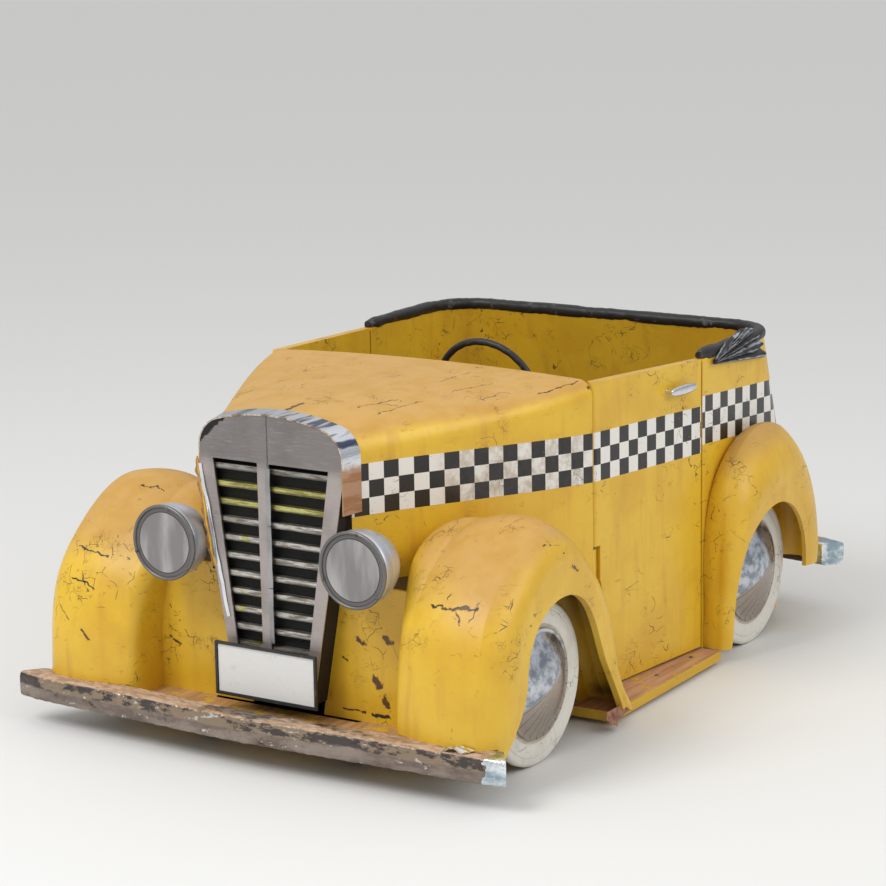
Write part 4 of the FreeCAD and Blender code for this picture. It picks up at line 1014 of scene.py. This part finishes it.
def foil_finish(name, end_x, middle):
    """Split foil, taupe below middle and dark above it, wood on top, bright foil past end_x."""
    f = Finish(name)
    cloud, fine = f.noise(0.05, 6.0, 0.65, (0.35, 1.0, 1.0)), f.noise(0.012, 5.0, 0.7, (0.4, 1.0, 1.0))
    face = f.mix(cloud.ease(0.4, 0.6), paint(158, 144, 134), paint(124, 110, 102))
    upper = (f.z + cloud * 0.03).ease(middle + 14 * MM, middle + 19 * MM)
    peeling = f.mix((cloud + fine * 0.5).ease(0.72, 0.78), paint(64, 60, 61), paint(158, 140, 118))
    face = f.mix(upper * 0.85, face, peeling)
    flake = (fine + cloud * 0.3).ease(0.78, 0.80)
    face = f.mix(flake, face, paint(206, 204, 200))
    pit = f.noise(0.016, 6.0, 0.75, (0.5, 1.0, 1.0)).ease(0.58, 0.62) * f.noise(0.08, 3.0).ease(0.42, 0.6)
    face = f.mix(pit, face, paint(66, 48, 40))
    top_wear = f.facing_up().ease(0.6, 0.9) * f.noise(0.09, 5.0, 0.65, (0.5, 1.0, 1.0)).ease(0.36, 0.46)
    face = f.mix(top_wear, face, f.mix(fine.ease(0.4, 0.6), paint(200, 172, 146), paint(166, 132, 104)))
    cap = f.x + f.noise(0.02, 3.0) * 0.03 > end_x
    bright = f.mix(cloud.ease(0.42, 0.62), paint(238, 244, 248), paint(150, 172, 184))
    colour = f.mix(cap, face, bright)
    wood = top_wear.most(pit) * (1 - cap)
    folds = f.cells(0.014, "F1", wander=0.03)
    height = folds * 1.2 + fine * 0.8 - wood * 0.3
    rough = 0.30 + cloud * 0.15 + wood * 0.3 - cap * 0.1
    return f.finish(colour, rough, height, 0.0016, metal=0.75 - wood * 0.75 + cap * 0.2)


for name, grid, node, end_x in (("front_plank", front_plank, "front_bumper", 0.546),
                                ("rear_plank", rear_plank, "rear_bumper", 0.488)):
    foil = foil_finish(name + "_foil", end_x, 0.5 * (front_low.z + front_high.z))
    made = piece(name, "car_body", foil, [grid], ends=True)
    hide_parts(node)
scrap_u, scrap_v = np.meshgrid(np.linspace(-1, 1, 16), np.linspace(-1, 1, 12), indexing="ij")
scrap = np.stack([0.470 + 0.026 * scrap_u + 0.004 * scrap_v, -0.781 + 0.011 * scrap_v + 0.003 * scrap_u,
                  0.1065 + 0.004 * (1 - scrap_u ** 2)], -1)
scrap[..., 2] += ripple(scrap, 14 * MM, 1.6 * MM, 8)
under = scrap - (0, 0, 0.6 * MM)
foil_scrap = piece("foil_scrap", "car_body", finishes["band_chrome"],
                   [np.concatenate([scrap, under[:, ::-1]], 1)], ends=True)
print("front plank spans", round(float(np.ptp(front_plank[..., 0])), 3), "m")

# %% [markdown]
# ## Grille trim
# A narrow strip covers the joint down the middle of the grille and a bent one runs down its far
# edge, where the plywood behind has split into a long yellow-edged splinter. Rivets hold the
# chrome band, and screws the shelf and the steps.

# %% strips, splinter and small heads
def strip(points, wide, thick, count=60, wave=0.0, seed=0, up=(0, -1, 0), taper=False):
    """A flat bar along a line, waved by ripples; taper thins it to ragged points."""
    path = dense(points, count, 1)
    path = path + np.stack([ripple(path, 60 * MM, wave, seed), 0 * path[:, 0], 0 * path[:, 0]], 1)
    share = np.linspace(0, 1, count)
    size = 1 + ripple(path, 25 * MM, 0.25, seed + 1) if taper else np.ones(count)
    size = size * np.minimum(1, np.minimum(share, 1 - share) * 8 + 0.25) if taper else size
    return swept(path, oval(wide / 2, thick / 2, 12, 5.0), up, size)


grille_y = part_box("grille_frame")[0].y
piece("grille_spine", "car_body", finishes["grille_metal"],
      [strip([(0, grille_y - 1.2 * MM, z0), (0, grille_y - 1.2 * MM, z1)], 11 * MM, 2.4 * MM, 20, 0.5 * MM, 4)
       for z0, z1 in ((0.222, 0.330), (0.332, 0.452), (0.454, 0.566))], ends=True)
edge_line = [(x, grille_y + y * MM, z) for x, y, z in
             ((-0.160, -1, 0.560), (-0.138, -3, 0.450), (-0.119, -2, 0.350), (-0.104, -1, 0.262))]
piece("edge_strip", "car_body", finishes["band_chrome"],
      [strip(edge_line, 8 * MM, 2 * MM, 60, 0.7 * MM, 6)], ends=True)
splinter_line = [(x, grille_y + y * MM, z) for x, y, z in
                 ((-0.171, 4, 0.572), (-0.156, 1, 0.470), (-0.141, 2, 0.400), (-0.126, 3, 0.326))]
piece("split_ply", "car_body", finishes["tan_wood"],
      [strip(splinter_line, 13 * MM, 3 * MM, 70, 2 * MM, 11, taper=True)], ends=True)
piece("split_ply_edge", "car_body", panels["plain"],
      [strip(np.add(splinter_line, (3.5 * MM, -1.6 * MM, -4 * MM)), 4 * MM, 2.2 * MM, 70, 2 * MM, 11, taper=True)],
      ends=True)


def heads(name, body, finish, spots, way, radius=4 * MM):
    """Domed screw or rivet heads at spots, all facing one way."""
    dome = np.asarray(screw) * (radius / (3.2 * MM))
    return piece(name, body, finish, [turned(dome, spot, way, 14) for spot in spots], wrap=(True, False))


heads("band_rivets", "car_body", finishes["steel"],
      [(x, -0.672, z) for x, z in ((0.1695, 0.540), (0.1685, 0.515), (-0.1625, 0.540))], (1, 0, 0), 2.6 * MM)
heads("shelf_screws", "car_body", finishes["steel"],
      [(x, -0.745, 0.0805) for x in (-0.30, -0.18, 0.18, 0.30)], (0, 0, 1), 4.5 * MM)
for side, sign in SIDES:
    heads("step_screws_" + side, "car_body", finishes["steel"],
          [(sign * 0.440, y, 0.0305) for y in (-0.12, 0.03, 0.18)], (0, 0, 1), 4.5 * MM)
print("trim hangs from the grille's face at", round(grille_y, 4))

# %% [markdown]
# ## Torn cloth under the near fender
# A scrap of brown canvas hangs where the fender's tail was once stapled. It is a small sheet: its
# top edge is straight, its lower edge ragged, and it billows outwards a little.

# %% canvas flap
flap_u, flap_v = np.meshgrid(np.linspace(0, 1, 26), np.linspace(0, 1, 16), indexing="ij")
drop = (0.018 + 0.016 * np.sin(np.pi * np.clip(flap_u * 1.25, 0, 1)) + 0.003 * np.sin(19 * flap_u))
flap = np.stack([0.500 + 0.006 * np.sin(2.6 * np.pi * flap_u) * flap_v + 0.004 * flap_v,
                 -0.287 + 0.081 * flap_u + 0.004 * np.sin(7 * flap_v) * flap_v, 0.047 - drop * flap_v], -1)
flap[..., 0] += ripple(flap, 20 * MM, 1.5 * MM, 21) * flap_v
canvas = Finish("canvas")
weave = canvas.noise(0.0012, 2.0)
canvas_tone = canvas.mix(canvas.noise(0.02, 5.0).ease(0.4, 0.7), paint(168, 122, 98), paint(112, 74, 58))
canvas_cloth = canvas.finish(canvas_tone, 0.9, weave, 0.0004)
torn_cloth = piece("canvas_flap", "car_body", canvas_cloth, [flap], wrap=(False, False), closed=False)


def thicken(sheet, thickness):
    """Gives a sheet its two faces, half the thickness to each side."""
    wall = sheet.modifiers.new("thickness", "SOLIDIFY")
    wall.thickness, wall.offset = thickness, 0.0


def area_of(grid):
    """Area of a grid: half the cross product of each cell's diagonals, summed."""
    across, down = grid[1:, 1:] - grid[:-1, :-1], grid[1:, :-1] - grid[:-1, 1:]
    return float(np.linalg.norm(np.cross(across, down), axis=-1).sum() / 2)


thicken(torn_cloth, 1.0 * MM)
print("flap area", round(area_of(flap) * 1e4, 1), "cm2")

# %% [markdown]
# ## Folded hood
# The black hood is rolled round the rim of the tail, and its side cloth is gathered into a fan at
# each door: the left one stands, the right one has sunk. The roll is a tube carried round the
# rim with soft wrinkles across it. A fan is a sheet in polar form: folds run out from the
# gathering point, deeper towards the outer edge, and rub through to silver along their crests.

# %% hood finish with worn folds
def fan_cloth(name, pivot_y, pivot_z, folds, low_angle, high_angle):
    """Black cloth, silver along fold crests found from the angle round the gathering point."""
    f = Finish(name)
    angle = (f.z - pivot_z).math("ARCTAN2", f.y - pivot_y)
    fold = (angle - low_angle) * (folds / (high_angle - low_angle)) + f.noise(0.03, 3.0) * 0.5
    crest = abs(fold % 1.0 - 0.5).ease(0.24, 0.03)
    rub = crest * f.noise(0.02, 5.0, 0.7).ease(0.36, 0.54)
    pebble, cloud = f.cells(0.0022, "F1"), f.noise(0.03, 5.0, 0.65)
    colour = f.mix(rub * 0.9, paint(24, 24, 27), paint(172, 177, 182))
    return f.finish(colour, 0.34 + cloud * 0.15 + rub * 0.1, pebble * 0.3 + cloud * 0.5 + crest * 0.6, 0.0006)


print("folds rub through over the", round(2 * 0.24 * 100), "% nearest their crests")

# %% hood roll
half, back, corner, roll_r = 417 * MM, 618 * MM, 105 * MM, 15 * MM
turn = np.radians(np.linspace(0, 90, 16))
left_arc = np.stack([half - corner + corner * np.cos(turn), back - corner + corner * np.sin(turn)], 1)
plan = np.concatenate([[(half, 255 * MM)], left_arc, left_arc[::-1] * (-1, 1), [(-half, 255 * MM)]])
plan = dense(plan, 260)
rim_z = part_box("folded_top")[1].z - roll_r
path = np.column_stack([plan, np.full(len(plan), rim_z)])
share = np.linspace(0, 1, len(path))
ends_in = np.minimum(1, np.minimum(share, 1 - share) * 30 + 0.35) ** 0.5
roll = swept(path, oval(roll_r * 0.9, roll_r * 0.9, 28, 2.3), scale=ends_in)
out = roll - path[:, None]
crease = ripple(roll, 110 * MM, 0.07, 31) + ripple(roll, 22 * MM, 0.022, 32)
roll = path[:, None] + out * np.clip(1 + crease, 0.72, 1.06)[..., None]
hood = piece("hood_roll", "car_body", finishes["hood_cloth"], [roll], ends=True, crease=60)
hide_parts("folded_top")
print("hood roll is", round(2000 * roll_r), "mm thick")

# %% hood fans
FOLDS = 7
for side, sign in SIDES:
    low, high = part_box("top_fan_" + side)
    crest = high.z
    gather = np.array([0.281, 0.640])
    edge = dense([(0.525, 0.616), (0.522, 0.634), (0.481, crest - 16 * MM), (0.424, crest - 1 * MM),
                  (0.350, 0.5 * (crest + 0.652))], 90, 2)
    reach = np.linspace(0.04, 1, 36)[:, None]
    share = np.linspace(0, 1, 90)[None, :]
    flat = gather + (edge[None] - gather) * reach[..., None]
    deep = 5.6 * MM * reach ** 0.7
    lift = 8.4 * MM + deep * np.sin(2 * np.pi * FOLDS * share + 0.8 * np.sin(5 * share))
    across = abs(low.x if sign > 0 else high.x) + lift
    fan = np.stack([sign * across, flat[..., 0], flat[..., 1]], -1)
    fan[..., 0] += sign * ripple(fan, 30 * MM, 0.7 * MM, 41)
    fan[..., 0] = sign * np.clip(abs(fan[..., 0]), 0.4282, 0.4436)
    angles = (math.atan2(0.616 - 0.640, 0.244), math.atan2(crest - 0.640, 0.143))
    cloth = fan_cloth("fan_cloth_" + side, 0.281, 0.640, FOLDS, *angles)
    sheet = piece("hood_fan_" + side, "car_body", cloth, [fan], wrap=(False, False), closed=False,
                  crease=70)
    thicken(sheet, 1.1 * MM)
    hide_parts("top_fan_" + side)

# %% [markdown]
# ## Seat cushion
# The bench pad is foam in leathercloth. A copy of the plain pad is merged, remeshed finely and
# blown up a little by a cloth simulation, which pulls its sides in between the corners. Sewn
# channels are pressed into it afterwards, because a remesh would erase them.

# %% padded cushion
def copied(node, name):
    """A merged copy of an engineering mesh, since the original is loose triangles."""
    mesh = nodes[node].data.copy()
    mesh.name = name
    work = bmesh.new()
    work.from_mesh(mesh)
    bmesh.ops.remove_doubles(work, verts=work.verts, dist=1e-5)
    bmesh.ops.recalc_face_normals(work, faces=work.faces)
    work.to_mesh(mesh)
    work.free()
    return link(name, mesh)


def applied(made):
    """Bakes an object's modifiers into its mesh."""
    seen = made.evaluated_get(bpy.context.evaluated_depsgraph_get())
    mesh = bpy.data.meshes.new_from_object(seen)
    made.modifiers.clear()
    made.data = mesh


def coordinates(mesh):
    """The places of a mesh's points, one row each."""
    places = np.empty(len(mesh.vertices) * 3, np.float32)
    mesh.vertices.foreach_get("co", places)
    return places.reshape(-1, 3).astype(float)


pad = copied("seat_cushion", "bench_pad")
low, high = (np.array(v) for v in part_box("seat_cushion"))
middle, SHRINK = (low + high) / 2, 5 * MM
start = coordinates(pad.data)
pad.data.vertices.foreach_set("co", (middle + (start - middle) * (1 - SHRINK * 2 / (high - low))).ravel())
remesh = pad.modifiers.new("remesh", "REMESH")
remesh.mode, remesh.voxel_size = "VOXEL", 7 * MM
applied(pad)
start = coordinates(pad.data)
cloth = pad.modifiers.new("swell", "CLOTH")
cloth.settings.use_pressure, cloth.settings.uniform_pressure_force = True, 4.0
cloth.settings.effector_weights.gravity = 0.0
scene = bpy.context.scene
scene.frame_start, scene.frame_end = 1, 20
for step in range(1, 21):
    scene.frame_set(step)
applied(pad)
moved = coordinates(pad.data) - start
far = np.linalg.norm(moved, axis=1, keepdims=True)
start = start + moved * np.minimum(1, 8 * MM / np.maximum(far, 1e-9))
scene.frame_set(1)
channel = sum(np.exp(-((start[:, 0] - x) / (5 * MM)) ** 2) for x in (-0.24, -0.08, 0.08, 0.24))
on_top = np.clip((start[:, 2] - middle[2]) / (high[2] - middle[2]), 0, 1)
start[:, 2] += on_top * (7 * MM * (np.exp(-((start[:, 1] - middle[1]) / 0.14) ** 4) - 0.6) - 6 * MM * channel)
start[:, 2] += on_top * ripple(start, 90 * MM, 1.2 * MM, 51)
start = np.clip(start, low - (1 * MM, 0, 0), high + (1 * MM, 0, 3 * MM))
pad.data.vertices.foreach_set("co", start.ravel())
smooth = pad.modifiers.new("smooth", "SUBSURF")
smooth.levels = smooth.render_levels = 1
pad.data.shade_smooth()
pad.data.materials.clear()
pad.data.materials.append(finishes["seat_cloth"])
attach(pad, "car_body")
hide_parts("seat_cushion")
print("pad has", len(pad.data.vertices), "points")

# %% [markdown]
# ## Closing the notebook
